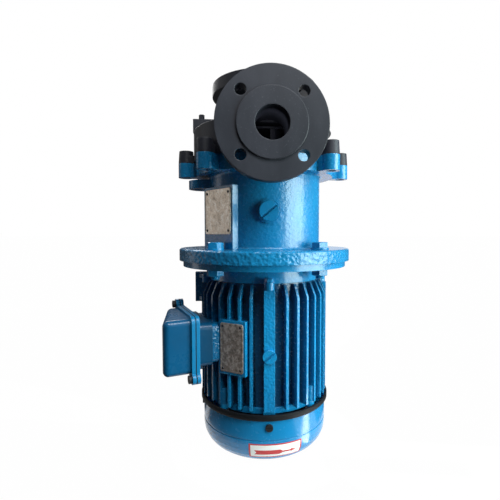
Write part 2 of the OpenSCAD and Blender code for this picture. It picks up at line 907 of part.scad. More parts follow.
module motor_frame() {
    color(paint)
        difference() {
            union() {
                tube(barrel_r, 0, z_frame, frame_len);
                for (a = fin_angles) rotate([0, 0, a]) fin();
                for (a = quarters(0)) rotate([0, 0, a])
                    outward_block(rib_w, barrel_r - 4, fin_r + 1, z_frame, z_shield - lug_t);
                facing(box_turn) box_saddle();
                facing(plate_pad_turn)
                    outward_block(plate_pad_w, barrel_r - 6, plate_pad_r, plate_pad_low, plate_pad_high);
                around(quarters(45), rear_lug_circle_r)
                    translate([0, 0, z_frame]) cylinder(h = screw_depth + 4, r = lug_r);
                for (side = [-1, 1], z = foot_levels) foot(side, z);
            }
            translate([0, 0, z_frame - over]) cylinder(h = frame_len + 2 * over, r = stator_r + seat_gap);
            around(quarters(0), lug_circle_r)
                translate([0, 0, z_shield - lug_t - screw_depth - over])
                    cylinder(h = screw_depth + lug_t + 2 * over, r = shield_screw_r + seat_gap);
            around(quarters(45), rear_lug_circle_r)
                translate([0, 0, z_frame - over])
                    cylinder(h = screw_depth + 2 * over, r = shield_screw_r + seat_gap);
            outward(rib_plug_r - 3 + seat_gap, stator_r, fin_r + 2, rib_plug_z);
            facing(box_turn) box_saddle_hole();
            facing(box_turn)
                rounded_plate(base_w + 2 * box_rim, base_l + 2 * box_rim, box_corner,
                              box_floor_r, box_joint_r, box_z);
        }
}

foot_levels = [z_face - foot_c, z_face - foot_c - foot_b];
fin_first = 15;
fin_angles = [for (side = [-1, 1], a = [fin_first : fin_pitch : 180 - fin_first])
    if (abs(a - quarter) > 8) side * a];

// One cooling fin with a slanted top
module fin() {
    translate([-fin_t / 2, 0, 0])
        rotate([90, 0, 90])
            linear_extrude(height = fin_t)
                polygon([[-barrel_r + 3, z_frame], [-fin_r, z_frame], [-fin_r, z_shield - 2 * fin_slant],
                         [-barrel_r - 4, z_shield - 1], [-barrel_r + 3, z_shield - 1]]);
}

// Foot pad on the back with its web down from the barrel
module foot(side, z) {
    inner = foot_a / 2 - foot_pad_in;
    web_low = max(z - foot_pad_len / 2 + 2, z_frame);
    difference() {
        union() {
            translate([side > 0 ? inner : -foot_half_w, foot_h - foot_pad_t, z - foot_pad_len / 2])
                cube([foot_half_w - inner, foot_pad_t, foot_pad_len]);
            translate([side * (inner + foot_web_in + foot_web_w / 2) - foot_web_w / 2, 0, web_low])
                cube([foot_web_w, foot_h - foot_pad_t / 2, z + foot_pad_len / 2 - 2 - web_low]);
            for (end = [-1, 1])
                translate([0, 0, z + end * (foot_pad_len / 2 - gusset_t) - gusset_t / 2])
                    linear_extrude(height = gusset_t)
                        polygon([[side * (inner + foot_web_in + 2), foot_gusset_low],
                                 [side * (foot_half_w - 4), foot_h - foot_pad_t + 1],
                                 [side * (inner + foot_web_in + 2), foot_h - foot_pad_t + 1]]);
        }
        translate([side * foot_a / 2, foot_h + over, z])
            rotate([90, 0, 0]) cylinder(h = foot_pad_t + 2 * over, r = foot_hole_d / 2);
    }
}

// Raised seat of the terminal box, through the fins
module box_saddle() {
    rounded_plate(lid_w - 4, base_body_l - 4, box_corner, barrel_r - 18, box_floor_r, box_z);
}

module box_saddle_hole() {
    outward(8, stator_r - 10, box_floor_r + over, box_z);
}

module frame_plug() {
    color(paint)
        slotted_plug(rib_plug_r - 3, rib_plug_r, plug_head_t, stator_r + 3, fin_r + 1, rib_plug_z);
}

module rear_end_shield() {
    pocket = z_rear_bearing;
    color(paint)
        difference() {
            union() {
                tube(rear_rim_r, 0, z_frame - rear_rim_t, rear_rim_t);
                tube(stator_r, stator_r - 6, z_frame - over, 5 + over);
                tube(rear_hub_r, 0, pocket - 4, bearing_w + 6);
                around(quarters(45), rear_lug_circle_r)
                    translate([0, 0, z_frame - lug_t]) cylinder(h = lug_t, r = lug_r);
                for (a = quarters(0)) rotate([0, 0, a]) {
                    outward_block(cover_post_w, cover_post_out - 8, cover_post_out,
                                  cover_post_z - 8, z_frame - over);
                    outward_block(cover_post_w, rear_rim_r - 6, cover_post_out,
                                  z_frame - rear_rim_t, z_frame - over);
                }
            }
            translate([0, 0, pocket]) cylinder(h = bearing_w + 6, r = bearing_r + seat_gap);
            translate([0, 0, pocket - 4 - over]) cylinder(h = 8, r = bearing_bore_r + 2);
            around(quarters(45), rear_lug_circle_r)
                translate([0, 0, z_frame - lug_t - over])
                    cylinder(h = lug_t + 2 * over, r = shield_screw_r + screw_play);
            for (a = quarters(0)) rotate([0, 0, a])
                outward(cover_screw_r + seat_gap, cover_post_out - 8 - over, cover_post_out + over,
                        cover_post_z);
        }
}

module rear_shield_screws() {
    color(steel)
        around(quarters(45), rear_lug_circle_r) {
            translate([0, 0, z_frame - lug_t - over])
                cylinder(h = lug_t + screw_depth + over, r = shield_screw_r);
            translate([0, 0, z_frame - lug_t - shield_screw_head_h])
                cylinder(h = shield_screw_head_h, r = shield_screw_head_r, $fn = 6);
        }
}

module stator_core() {
    color(magnet_grey) tube(stator_r, rotor_r + air_gap, z_stator, stator_len);
}

module stator_windings() {
    color(copper)
        for (z = [z_stator - coil_h, z_stator + stator_len])
            tube(stator_r - 4, rotor_r + 4, z, coil_h);
}

module motor_shaft() {
    color(steel)
        difference() {
            rotate_extrude()
                polygon([[0, z_shaft_end], [fan_seat_r, z_shaft_end], [fan_seat_r, fan_z + fan_h],
                         [bearing_bore_r, fan_z + fan_h], [bearing_bore_r, z_rear_bearing + bearing_w],
                         [core_shaft_r, z_rear_bearing + bearing_w], [core_shaft_r, z_drive_bearing],
                         [bearing_bore_r, z_drive_bearing], [bearing_bore_r, z_face + 2],
                         [shaft_r, z_face + 2], [shaft_r, z_face + shaft_end_len - 1],
                         [shaft_r - 1, z_face + shaft_end_len], [0, z_face + shaft_end_len]]);
            translate([-key_w / 2 - seat_gap, shaft_r - 3.5 - seat_gap, z_hub + 4 - seat_gap])
                cube([key_w + 2 * seat_gap, 8, z_face + shaft_end_len - 8 - z_hub + 2 * seat_gap]);
            tube(fan_seat_r + over, fan_seat_r - 0.8, circlip_z - seat_gap, circlip_t + 2 * seat_gap);
        }
}

circlip_t = 1.2;
circlip_z = fan_z + 2;

module rotor_core() {
    color(magnet_grey) tube(rotor_r, core_shaft_r + seat_gap, z_stator, stator_len);
}

module rotor_end_rings() {
    color("#c9ccd0")
        for (z = [z_stator - end_ring_h, z_stator + stator_len])
            tube(rotor_r - 1, rotor_r - 12, z, end_ring_h);
}

// Groove that the balls run in, cut from a race
module ball_groove(z) {
    translate([0, 0, z + bearing_w / 2])
        rotate_extrude() translate([ball_circle_r, 0]) circle(r = ball_r + free_gap);
}

module bearing_outer(z) {
    color(steel)
        difference() {
            tube(bearing_r, cup_race_r, z, bearing_w);
            ball_groove(z);
        }
}

module bearing_inner(z) {
    color(steel)
        difference() {
            tube(race_r, bearing_bore_r + seat_gap, z, bearing_w);
            translate([0, 0, z + bearing_w / 2])
                rotate_extrude() translate([ball_circle_r, 0]) circle(r = ball_r + seat_gap);
        }
}

module bearing_balls(z) {
    color(steel)
        for (k = [0 : ball_count - 1])
            rotate([0, 0, k * 360 / ball_count])
                translate([ball_circle_r, 0, z + bearing_w / 2]) sphere(r = ball_r);
}

module drive_bearing_outer() { bearing_outer(z_drive_bearing); }
module drive_bearing_inner() { bearing_inner(z_drive_bearing); }
module drive_bearing_balls() { bearing_balls(z_drive_bearing); }
module rear_bearing_outer() { bearing_outer(z_rear_bearing); }
module rear_bearing_inner() { bearing_inner(z_rear_bearing); }
module rear_bearing_balls() { bearing_balls(z_rear_bearing); }

module wave_spring() {
    color(steel) tube(bearing_r - 0.5, cup_race_r - 1, z_drive_bearing + bearing_w, spring_t);
}

module cooling_fan() {
    color(dark)
        difference() {
            union() {
                tube(fan_hub_r, 0, circlip_z + circlip_t, fan_h - 2 - circlip_t);
                tube(fan_r - 8, 0, fan_z + fan_h - 3, 3);
                for (k = [0 : fan_blades - 1])
                    rotate([0, 0, (k + 0.5) * 360 / fan_blades])
                        outward_block(fan_blade_t, fan_hub_r - 2, fan_r, fan_z + 4, fan_z + fan_h);
            }
            translate([0, 0, fan_z - over]) cylinder(h = fan_h + 2 * over, r = fan_seat_r + seat_gap);
        }
}

module fan_circlip() {
    color(steel)
        difference() {
            tube(fan_seat_r + 3, fan_seat_r - 0.8 + seat_gap, circlip_z, circlip_t);
            outward_block(6, 0, fan_seat_r + 4, circlip_z - over, circlip_z + circlip_t + over);
        }
}

// Half section of the cover's sheet, with the mouth lip and the groove round the wall
module cover_section(inset) {
    r = cover_r - inset;
    polygon(concat(
        [[0, inset], [r - cover_round, inset]],
        arc_points([r - cover_round + inset, cover_round], cover_round - inset, 270, 360),
        [[r, cover_h - lip_h - 2], [r + lip_out, cover_h - lip_h], [r + lip_out, cover_h + inset],
         [0, cover_h + inset]]));
}

module fan_cover() {
    slot_in = 17;
    groove_d = 0.6;
    groove_w = 1.6;
    groove_up = 5;
    slot_out = cover_r - cover_round - 6;
    color(paint)
        difference() {
            rotate_extrude() cover_section(0);
            rotate_extrude() cover_section(cover_wall);
            for (k = [0 : inlet_slots - 1])
                rotate([0, 0, k * 360 / inlet_slots])
                    outward_block(4, slot_in, slot_out, -over, cover_wall + over);
            tube(cover_r + over, cover_r - groove_d, cover_round + groove_up, groove_w);
            for (a = quarters(0)) rotate([0, 0, a])
                outward(cover_screw_r + seat_gap, cover_r - 6, cover_r + over, cover_post_z);
        }
}

module fan_cover_screws() {
    color(steel)
        for (a = quarters(0)) rotate([0, 0, a])
            difference() {
                union() {
                    outward(cover_screw_r, cover_post_out - 7, cover_r, cover_post_z);
                    outward(cover_screw_head_r, cover_r, cover_r + 2, cover_post_z);
                }
                translate([0, -cover_r - 2, cover_post_z]) cube([10, 1.6, 1], center = true);
            }
}

// Diagonal screw ears of the lid joint
ear_places = [[-1, 1], [1, -1]];

module joint_outline() {
    rounded_outline(base_w, base_l, box_corner);
    for (e = ear_places) translate([e[0] * ear_x, e[1] * ear_z]) circle(r = ear_r);
}

// Joint plate facing -Y, from distance r0 to r1
module joint_plate(r0, r1) {
    translate([0, -r0, box_z]) rotate([90, 0, 0]) linear_extrude(height = r1 - r0) joint_outline();
}

// Screw holes through the ears
module ear_bores(r, r0, r1) {
    for (e = ear_places) translate([e[0] * ear_x, 0, 0]) outward(r, r0, r1, box_z + e[1] * ear_z);
}

module terminal_box_base() {
    floor_r = box_floor_r + box_wall;
    color(paint)
        facing(box_turn)
            difference() {
                union() {
                    rounded_plate(lid_w, base_body_l, box_corner, box_floor_r, base_joint_r, box_z);
                    joint_plate(base_joint_r - box_flange_t, base_joint_r);
                }
                rounded_plate(lid_w - 2 * box_wall, base_body_l - 2 * box_wall, box_corner - box_wall,
                              floor_r, base_joint_r + over, box_z);
                outward(8, box_floor_r - over, floor_r + over, box_z);
                ear_bores(box_screw_r + seat_gap, base_joint_r - box_flange_t - over, base_joint_r + over);
                translate([-base_w / 2 - over, -gland_r_pos, box_z])
                    rotate([0, 90, 0]) cylinder(h = gland_wall, r = gland_seat_r + seat_gap);
            }
}

gland_seat_r = 7;
gland_r_pos = (box_floor_r + base_joint_r) / 2 - 1;

module terminal_box_gasket() {
    color(dark)
        facing(box_turn)
            difference() {
                joint_plate(base_joint_r, box_joint_r);
                rounded_plate(lid_w - 2 * box_wall, lid_l - 2 * box_wall, box_corner - box_wall,
                              base_joint_r - over, box_joint_r + over, box_z);
                ear_bores(box_screw_r + 0.3, base_joint_r - over, box_joint_r + over);
            }
}

// Rounded wedge of the lid, smaller by inset all round: deep at the near side, shallow at the far side
module lid_wedge(inset) {
    r = lid_round - inset / 2;
    x = lid_w / 2 - inset - r;
    z = lid_l / 2 - inset - r;
    hull()
        for (side = [-1, 1], up = [-1, 1])
            translate([side * x, 0, box_z + up * z]) {
                outward(r, box_joint_r - inset, box_joint_r + box_flange_t, 0, $fn = 32);
                translate([0, r + inset - box_joint_r - (side > 0 ? lid_d : lid_d_far), 0])
                    sphere(r = r, $fn = 32);
            }
}

// Deep pressed lid on the joint flange, hollow inside
module terminal_box_lid() {
    color(paint)
        facing(box_turn)
            difference() {
                union() {
                    joint_plate(box_joint_r, box_joint_r + box_flange_t);
                    lid_wedge(0);
                }
                lid_wedge(box_wall);
                ear_bores(box_screw_r + screw_play, box_joint_r - over, box_joint_r + box_flange_t + over);
            }
}

module lid_screws() {
    top = box_joint_r + box_flange_t;
    color(dark)
        facing(box_turn) {
            ear_bores(box_screw_r, base_joint_r - box_flange_t, top + over);
            ear_bores(box_screw_head_r, top, top + box_screw_head_h);
        }
}

module terminal_block() {
    floor_r = box_floor_r + box_wall;
    color("#5a2e1c")
        facing(box_turn)
            difference() {
                translate([0, 0, box_z])
                    outward_block(block_w, floor_r, floor_r + block_t, block_rise, block_rise + block_l / 2);
                for (k = [-1 : 1])
                    translate([k * stud_pitch, 0, 0])
                        outward(stud_r + seat_gap, floor_r + 2, floor_r + block_t + over,
                                box_z + block_rise + block_l / 4);
            }
}

module terminal_studs() {
    floor_r = box_floor_r + box_wall;
    color(brass)
        facing(box_turn)
            for (k = [-1 : 1])
                translate([k * stud_pitch, 0, 0]) {
                    outward(stud_r, floor_r + 2, floor_r + 2 + stud_h, box_z + block_rise + block_l / 4);
                    outward(2 * stud_r, floor_r + block_t, floor_r + block_t + 3,
                            box_z + block_rise + block_l / 4);
                }
}

module cable_gland() {
    wall_x = base_w / 2 - box_rim;
    collar = box_rim + 1.5;
    color(dark)
        facing(box_turn)
            translate([-wall_x, -gland_r_pos, box_z])
                rotate([0, -90, 0])
                    difference() {
                        union() {
                            translate([0, 0, -box_wall])
                                cylinder(h = box_wall + collar + over, r = gland_seat_r);
                            translate([0, 0, collar]) cylinder(h = gland_hex_h, r = gland_nut_r, $fn = 6);
                            translate([0, 0, collar + gland_hex_h - over])
                                cylinder(h = gland_len - gland_hex_h - gland_cap_h + over, r = gland_r);
                            translate([0, 0, collar + gland_len - gland_cap_h])
                                cylinder(h = gland_cap_h, r1 = gland_r, r2 = gland_bore_r + 2);
                        }
                        translate([0, 0, -box_wall - over])
                            cylinder(h = box_wall + collar + gland_len + 2 * over, r = gland_bore_r);
                    }
}

pump_casing();
vent_plug();
casing_o_ring();
mouth_ring();
front_thrust_ring();
rear_thrust_ring();
spindle();
impeller();
magnet_carrier();
inner_magnets();
carrier_cap();
front_bush();
rear_bush();
containment_shell();
casing_inserts();
casing_screws();
lantern();
lantern_plug();
outer_magnet_hub();
outer_magnets();
hub_key();
hub_set_screw();
flange_bolts();
flange_washers();
flange_nuts();
drive_end_shield();
drive_shield_screws();
shaft_seal();
motor_frame();
frame_plug();
rear_end_shield();
rear_shield_screws();
stator_core();
stator_windings();
motor_shaft();
rotor_core();
rotor_end_rings();
drive_bearing_outer();
drive_bearing_inner();
drive_bearing_balls();
rear_bearing_outer();
rear_bearing_inner();
rear_bearing_balls();
wave_spring();
cooling_fan();
fan_circlip();
fan_cover();
fan_cover_screws();
terminal_box_base();
terminal_box_gasket();
terminal_box_lid();
lid_screws();
terminal_block();
terminal_studs();
cable_gland();
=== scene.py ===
"""Magnetic drive pump: finishes, plates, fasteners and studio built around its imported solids."""

from __future__ import annotations

import json
import logging
import math
from dataclasses import dataclass
from enum import Enum
from typing import Any, Union

import bmesh
import bpy
from mathutils import Matrix, Vector

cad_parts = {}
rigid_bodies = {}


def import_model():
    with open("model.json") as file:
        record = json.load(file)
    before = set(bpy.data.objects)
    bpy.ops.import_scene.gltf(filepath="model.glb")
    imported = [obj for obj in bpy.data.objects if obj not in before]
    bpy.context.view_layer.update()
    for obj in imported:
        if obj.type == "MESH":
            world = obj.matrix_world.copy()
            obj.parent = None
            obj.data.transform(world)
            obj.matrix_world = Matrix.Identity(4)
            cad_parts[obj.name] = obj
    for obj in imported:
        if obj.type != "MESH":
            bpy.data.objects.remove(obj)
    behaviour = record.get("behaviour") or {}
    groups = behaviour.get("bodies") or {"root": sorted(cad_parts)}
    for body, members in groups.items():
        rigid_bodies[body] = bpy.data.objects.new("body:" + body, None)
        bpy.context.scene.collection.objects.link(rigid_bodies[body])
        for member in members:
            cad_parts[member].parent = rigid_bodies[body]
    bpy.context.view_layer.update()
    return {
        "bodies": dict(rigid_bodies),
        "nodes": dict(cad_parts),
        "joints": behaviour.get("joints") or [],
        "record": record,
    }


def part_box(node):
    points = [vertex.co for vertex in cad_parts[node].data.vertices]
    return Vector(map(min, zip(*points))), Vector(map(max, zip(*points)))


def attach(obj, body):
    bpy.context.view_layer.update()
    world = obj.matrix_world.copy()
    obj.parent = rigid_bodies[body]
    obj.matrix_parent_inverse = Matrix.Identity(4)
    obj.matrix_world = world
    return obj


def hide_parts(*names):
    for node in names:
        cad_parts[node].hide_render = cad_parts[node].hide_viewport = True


MM = 0.001
Colour = tuple[float, float, float]
Point = tuple[float, float, float]
Span = tuple[float, float]
Value = Union["Sock", float, Colour]
# Turn of the terminal box from the discharge side towards the left
BOX_TURN_DEG = 69.0
# Points nearer to each other than this are one point
MERGE = 1e-7
# Half the turn from one corner of a hexagon to the next
HEX_HALF = math.radians(30.0)
WHITE: Colour = (1.0, 1.0, 1.0)
log = logging.getLogger("pump")


class Slot(Enum):
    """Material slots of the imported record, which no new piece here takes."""

    ENAMEL = "blue_enamel"
    ALUMINIUM = "aluminium"
    RUBBER = "rubber"


class Body(Enum):
    """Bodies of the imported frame."""

    PUMP = "pump_body"


class Sock:
    """A node's output socket that adds Math nodes when it meets an operator."""

    def __init__(self, graph: "Graph", socket: bpy.types.NodeSocket) -> None:
        """Keep the graph and the socket.

        Args:
            graph: The graph that owns the socket's node.
            socket: An output socket.
        """
        self.graph = graph
        self.socket = socket

    def math(self, operation: str, *values: Value) -> "Sock":
        """Add a Math node.

        Args:
            operation: The Math node's operation.
            values: What goes into its sockets, in order.

        Returns:
            The node's output.
        """
        return self.graph.node("ShaderNodeMath", {"operation": operation}, dict(enumerate(values)))

    def __add__(self, other: Value) -> "Sock":
        """Sum."""
        return self.math("ADD", self, other)

    __radd__ = __add__

    def __mul__(self, other: Value) -> "Sock":
        """Product."""
        return self.math("MULTIPLY", self, other)

    __rmul__ = __mul__

    def __sub__(self, other: Value) -> "Sock":
        """Difference."""
        return self.math("SUBTRACT", self, other)

    def __rsub__(self, other: Value) -> "Sock":
        """Difference with the number first."""
        return self.math("SUBTRACT", other, self)

    def __gt__(self, other: Value) -> "Sock":
        """One where this value is larger."""
        return self.math("GREATER_THAN", self, other)

    def __lt__(self, other: Value) -> "Sock":
        """One where this value is smaller."""
        return self.math("LESS_THAN", self, other)

    def __abs__(self) -> "Sock":
        """Absolute value."""
        return self.math("ABSOLUTE", self)

    def largest(self, other: Value) -> "Sock":
        """The larger of two values."""
        return self.math("MAXIMUM", self, other)

    def smooth(self, low: float, high: float) -> "Sock":
        """A smooth step from 0 at low to 1 at high.

        Args:
            low: Where the step starts.
            high: Where it ends.

        Returns:
            The step's value.
        """
        settings = {"interpolation_type": "SMOOTHSTEP"}
        return self.graph.node("ShaderNodeMapRange", settings, {0: self, 1: low, 2: high, 3: 0.0, 4: 1.0})


class Graph:
    """The node tree of one material, or of the world."""

    EDGE_SAMPLES = 4
    EDGE_SPAN: Span = (0.02, 0.2)

    def __init__(self, owner: bpy.types.Material | bpy.types.World) -> None:
        """Start an empty tree.

        Args:
            owner: The material or world that the tree belongs to.
        """
        self.owner = owner
        owner.use_nodes = True
        self.tree = owner.node_tree
        self.tree.nodes.clear()

    def node(self, kind: str, settings: dict[str, Any], values: dict[Any, Value], out: Any = 0) -> Sock:
        """Add any node.

        Args:
            kind: The node's type.
            settings: Attributes that are set first.
            values: Values or sockets for its inputs, by name or number.
            out: The output wanted, by name or number.

        Returns:
            That output.
        """
        made = self.tree.nodes.new(kind)
        for key, value in settings.items():
            setattr(made, key, value)
        for key, value in values.items():
            target = made.inputs[key]
            if isinstance(value, Sock):
                self.tree.links.new(value.socket, target)
            elif isinstance(value, tuple) and len(value) == 3 and len(target.default_value) == 4:
                target.default_value = (*value, 1.0)
            else:
                target.default_value = value
        return Sock(self, made.outputs[out])

    def place(self) -> Sock:
        """Object coordinates in metres."""
        return self.node("ShaderNodeTexCoord", {}, {}, "Object")

    def axes(self, vector: Sock) -> tuple[Sock, Sock, Sock]:
        """Split a vector.

        Args:
            vector: The vector.

        Returns:
            Its three parts.
        """
        split = self.node("ShaderNodeSeparateXYZ", {}, {0: vector})
        outputs = split.socket.node.outputs
        return Sock(self, outputs[0]), Sock(self, outputs[1]), Sock(self, outputs[2])

    def noise(self, at: Sock, scale: float, detail: float = 2.0, rough: float = 0.5) -> Sock:
        """Noise from 0 to 1.

        Args:
            at: Coordinates.
            scale: Features in a metre.
            detail: Octaves.
            rough: Strength of the finer octaves.

        Returns:
            The noise value.
        """
        values = {"Vector": at, "Scale": scale, "Detail": detail, "Roughness": rough}
        return self.node("ShaderNodeTexNoise", {}, values)

    def cells(self, at: Sock, scale: float, soft: float) -> Sock:
        """Smooth cells, the distance from each cell's centre.

        Args:
            at: Coordinates.
            scale: Cells in a metre.
            soft: Smoothness.

        Returns:
            The distance.
        """
        settings = {"feature": "SMOOTH_F1"}
        return self.node("ShaderNodeTexVoronoi", settings, {"Vector": at, "Scale": scale, "Smoothness": soft})

    def stretched(self, at: Sock, scale: Point) -> Sock:
        """Coordinates scaled along each axis.

        Args:
            at: Coordinates.
            scale: Factors.

        Returns:
            The scaled coordinates.
        """
        return self.node("ShaderNodeVectorMath", {"operation": "MULTIPLY"}, {0: at, 1: scale})

    def mix(self, share: Value, first: Value, second: Value) -> Sock:
        """Mix two colours.

        Args:
            share: How much of the second.
            first: The first colour.
            second: The second colour.

        Returns:
            The mixed colour.
        """
        return self.node("ShaderNodeMix", {"data_type": "RGBA"}, {0: share, 6: first, 7: second}, 2)

    def edges(self, radius: float) -> tuple[Sock, Sock]:
        """Rounded edges.

        Args:
            radius: Radius of the rounding in metres.

        Returns:
            The rounded normal, and a mask that grows at the edges.
        """
        rounded = self.node("ShaderNodeBevel", {"samples": self.EDGE_SAMPLES}, {"Radius": radius})
        flat = self.node("ShaderNodeNewGeometry", {}, {}, "Normal")
        return rounded, (1.0 - self.along(rounded, flat)).smooth(*self.EDGE_SPAN)

    def along(self, first: Value, second: Value) -> Sock:
        """How far one vector reaches along another.

        Args:
            first: The first vector.
            second: The second vector.

        Returns:
            Their scalar product.
        """
        settings = {"operation": "DOT_PRODUCT"}
        return self.node("ShaderNodeVectorMath", settings, {0: first, 1: second}, "Value")

    def bump(self, height: Sock, distance: float, below: Sock | None = None) -> Sock:
        """A bump over a normal.

        Args:
            height: Height from 0 to 1.
            distance: Height of one unit in metres.
            below: The normal that it changes.

        Returns:
            The new normal.
        """
        values: dict[Any, Value] = {"Strength": 1.0, "Distance": distance, "Height": height}
        if below is not None:
            values["Normal"] = below
        return self.node("ShaderNodeBump", {}, values)

    def surface(self, values: dict[str, Value]) -> bpy.types.Material:
        """Close the graph with a Principled shader.

        Args:
            values: Values and sockets of its inputs.

        Returns:
            The finished material.
        """
        self.close(self.node("ShaderNodeBsdfPrincipled", {}, values), "ShaderNodeOutputMaterial")
        return self.owner

    def close(self, shader: Sock, kind: str) -> None:
        """Join a shader to the tree's output.

        Args:
            shader: The finished shader.
            kind: The output node's type.
        """
        end = self.tree.nodes.new(kind)
        self.tree.links.new(shader.socket, end.inputs["Surface"])

    def blend(self, share: Sock, first: Sock, second: Sock) -> Sock:
        """Mix two shaders.

        Args:
            share: How much of the second.
            first: The first shader.
            second: The second shader.

        Returns:
            The mixed shader.
        """
        return self.node("ShaderNodeMixShader", {}, {0: share, 1: first, 2: second})

    def seen(self) -> Sock:
        """A mask of rays from the camera, mirrors and glass.

        Returns:
            One for such rays.
        """
        camera = self.node("ShaderNodeLightPath", {}, {}, "Is Camera Ray")
        outputs = camera.socket.node.outputs
        mirrored = Sock(self, outputs["Is Glossy Ray"])
        return camera.largest(mirrored).largest(Sock(self, outputs["Is Transmission Ray"]))


@dataclass(frozen=True)
class Band:
    """A stretch of enamel in another tone, painted shade or painted light, measured outwards from the shaft
    axis in one direction.
    """

    turn_deg: float
    low: float
    high: float
    tone: Colour
    edge: float = 0.8 * MM
    share: float = 0.8

    def mask(self, g: Graph, at: Sock) -> Sock:
        """Where the band lies.

        Args:
            g: The material's graph.
            at: Object coordinates.

        Returns:
            The band's share, with soft ends.
        """
        turn = math.radians(self.turn_deg)
        out = (-math.sin(turn), -math.cos(turn), 0.0)
        reach = g.along(at, out)
        rising = reach.smooth(self.low - self.edge, self.low)
        falling = 1.0 - reach.smooth(self.high, self.high + self.edge)
        return rising * falling * self.share


@dataclass(frozen=True)
class Enamel:
    """Glossy enamel over cast metal, with orange peel, a hammered coat in a zone, painted shade towards the
    shaft axis and bands of painted shade and painted light.
    """

    name: str
    base: Colour = (0.0075, 0.24, 0.52)
    deep: Colour = (0.006, 0.19, 0.43)
    cloud_scale: float = 22.0
    cloud_span: Span = (0.35, 0.7)
    worn: Colour = (0.03, 0.38, 0.66)
    wear_scale: float = 140.0
    wear_span: Span = (0.3, 0.6)
    wear_share: float = 0.55
    speck: Colour = (0.02, 0.05, 0.09)
    speck_scale: float = 900.0
    speck_span: Span = (0.70, 0.76)
    speck_share: float = 0.35
    # Next three fields: painted shade, a darker tone towards the shaft axis that darkens the hollows between
    # fins
    dust_and_painted_shade: Colour = (0.006, 0.045, 0.105)
    dust_and_shade_share: float = 0.85
    painted_shade_radii: Span = (0.0, 0.0)
    bands: tuple[Band, ...] = ()
    roughness: float = 0.2
    cloud_rough: float = 0.08
    smear_scale: float = 260.0
    smear_span: Span = (0.5, 0.75)
    smear_rough: float = 0.12
    coat: float = 0.25
    coat_rough: float = 0.12
    specular: float = 0.5
    peel_size: float = 2.6 * MM
    peel_height: float = 0.10 * MM
    hammer_size: float = 6.5 * MM
    hammer_soft: float = 0.8
    hammer_height: float = 0.0
    hammer_zone: Span = (0.0, 1.0)
    rounding: float = 0.9 * MM

    def build(self) -> bpy.types.Material:
        """Make the material.

        Returns:
            The enamel.
        """
        g = Graph(bpy.data.materials.new(self.name))
        at = g.place()
        rounded, edge = g.edges(self.rounding)
        cloud = g.noise(at, self.cloud_scale, 3.0)
        normal = g.bump(g.noise(at, 1.0 / self.peel_size, 2.0, 0.55), self.peel_height, rounded)
        if self.hammer_height > 0.0:
            _, _, up = g.axes(at)
            low, high = self.hammer_zone
            zone = up.smooth(low - MM, low) * (1.0 - up.smooth(high, high + MM))
            pooled = g.cells(at, 1.0 / self.hammer_size, self.hammer_soft)
            normal = g.bump(pooled * zone, self.hammer_height, normal)
        colour = g.mix(cloud.smooth(*self.cloud_span), self.base, self.deep)
        speck = g.noise(at, self.speck_scale, 1.0).smooth(*self.speck_span)
        colour = g.mix(speck * self.speck_share, colour, self.speck)
        wear = g.noise(at, self.wear_scale, 2.0).smooth(*self.wear_span)
        colour = g.mix(edge * self.wear_share * wear, colour, self.worn)
        # Painted shade: darker towards the shaft axis, in the hollows between fins
        if self.painted_shade_radii[1] > 0.0:
            flat = g.stretched(at, (1.0, 1.0, 0.0))
            reach = g.node("ShaderNodeVectorMath", {"operation": "LENGTH"}, {0: flat}, "Value")
            colour = g.mix((1.0 - reach.smooth(*self.painted_shade_radii)) * self.dust_and_shade_share, colour, self.dust_and_painted_shade)
        # Bands of painted shade and painted light
        for band in self.bands:
            colour = g.mix(band.mask(g, at), colour, band.tone)
        smear = g.noise(at, self.smear_scale, 2.0).smooth(*self.smear_span)
        rough = self.roughness + self.cloud_rough * cloud + self.smear_rough * smear
        return g.surface({"Base Color": colour, "Roughness": rough, "Normal": normal,
                          "Coat Weight": self.coat, "Coat Roughness": self.coat_rough,
                          "Specular IOR Level": self.specular})


@dataclass(frozen=True)
class Moulded:
    """Moulded or pressed stuff with a fine grain, flow clouds, scuffs and rubbed edges."""

    name: str
    base: Colour = (0.0155, 0.0176, 0.0255)
    flow: Colour = (0.026, 0.028, 0.039)
    flow_stretch: Point = (30.0, 30.0, 12.0)
    flow_span: Span = (0.3, 0.7)
    flow_rough: float = 0.1
    rubbed: Colour = (0.07, 0.075, 0.09)
    rubbed_share: float = 0.6
    rubbed_shine: float = 0.08
    scuff_scale: float = 700.0
    scuff_span: Span = (0.68, 0.74)
    scuff_share: float = 0.5
    roughness: float = 0.42
    specular: float = 0.35
    grain_size: float = 0.7 * MM
    grain_height: float = 0.035 * MM
    rounding: float = 1.2 * MM

    def build(self) -> bpy.types.Material:
        """Make the material.

        Returns:
            The moulded finish.
        """
        g = Graph(bpy.data.materials.new(self.name))
        at = g.place()
        rounded, edge = g.edges(self.rounding)
        clouds = g.noise(g.stretched(at, self.flow_stretch), 1.0, 4.0, 0.6)
        grain = g.noise(at, 1.0 / self.grain_size, 2.0, 0.6)
        scuff = g.noise(at, self.scuff_scale, 1.0).smooth(*self.scuff_span)
        colour = g.mix(clouds.smooth(*self.flow_span), self.base, self.flow)
        colour = g.mix(edge * self.rubbed_share, colour, self.rubbed)
        colour = g.mix(scuff * self.scuff_share, colour, self.rubbed)
        rough = self.roughness + self.flow_rough * clouds - self.rubbed_shine * edge
        return g.surface({"Base Color": colour, "Roughness": rough, "Specular IOR Level": self.specular,
                          "Normal": g.bump(grain, self.grain_height, rounded)})


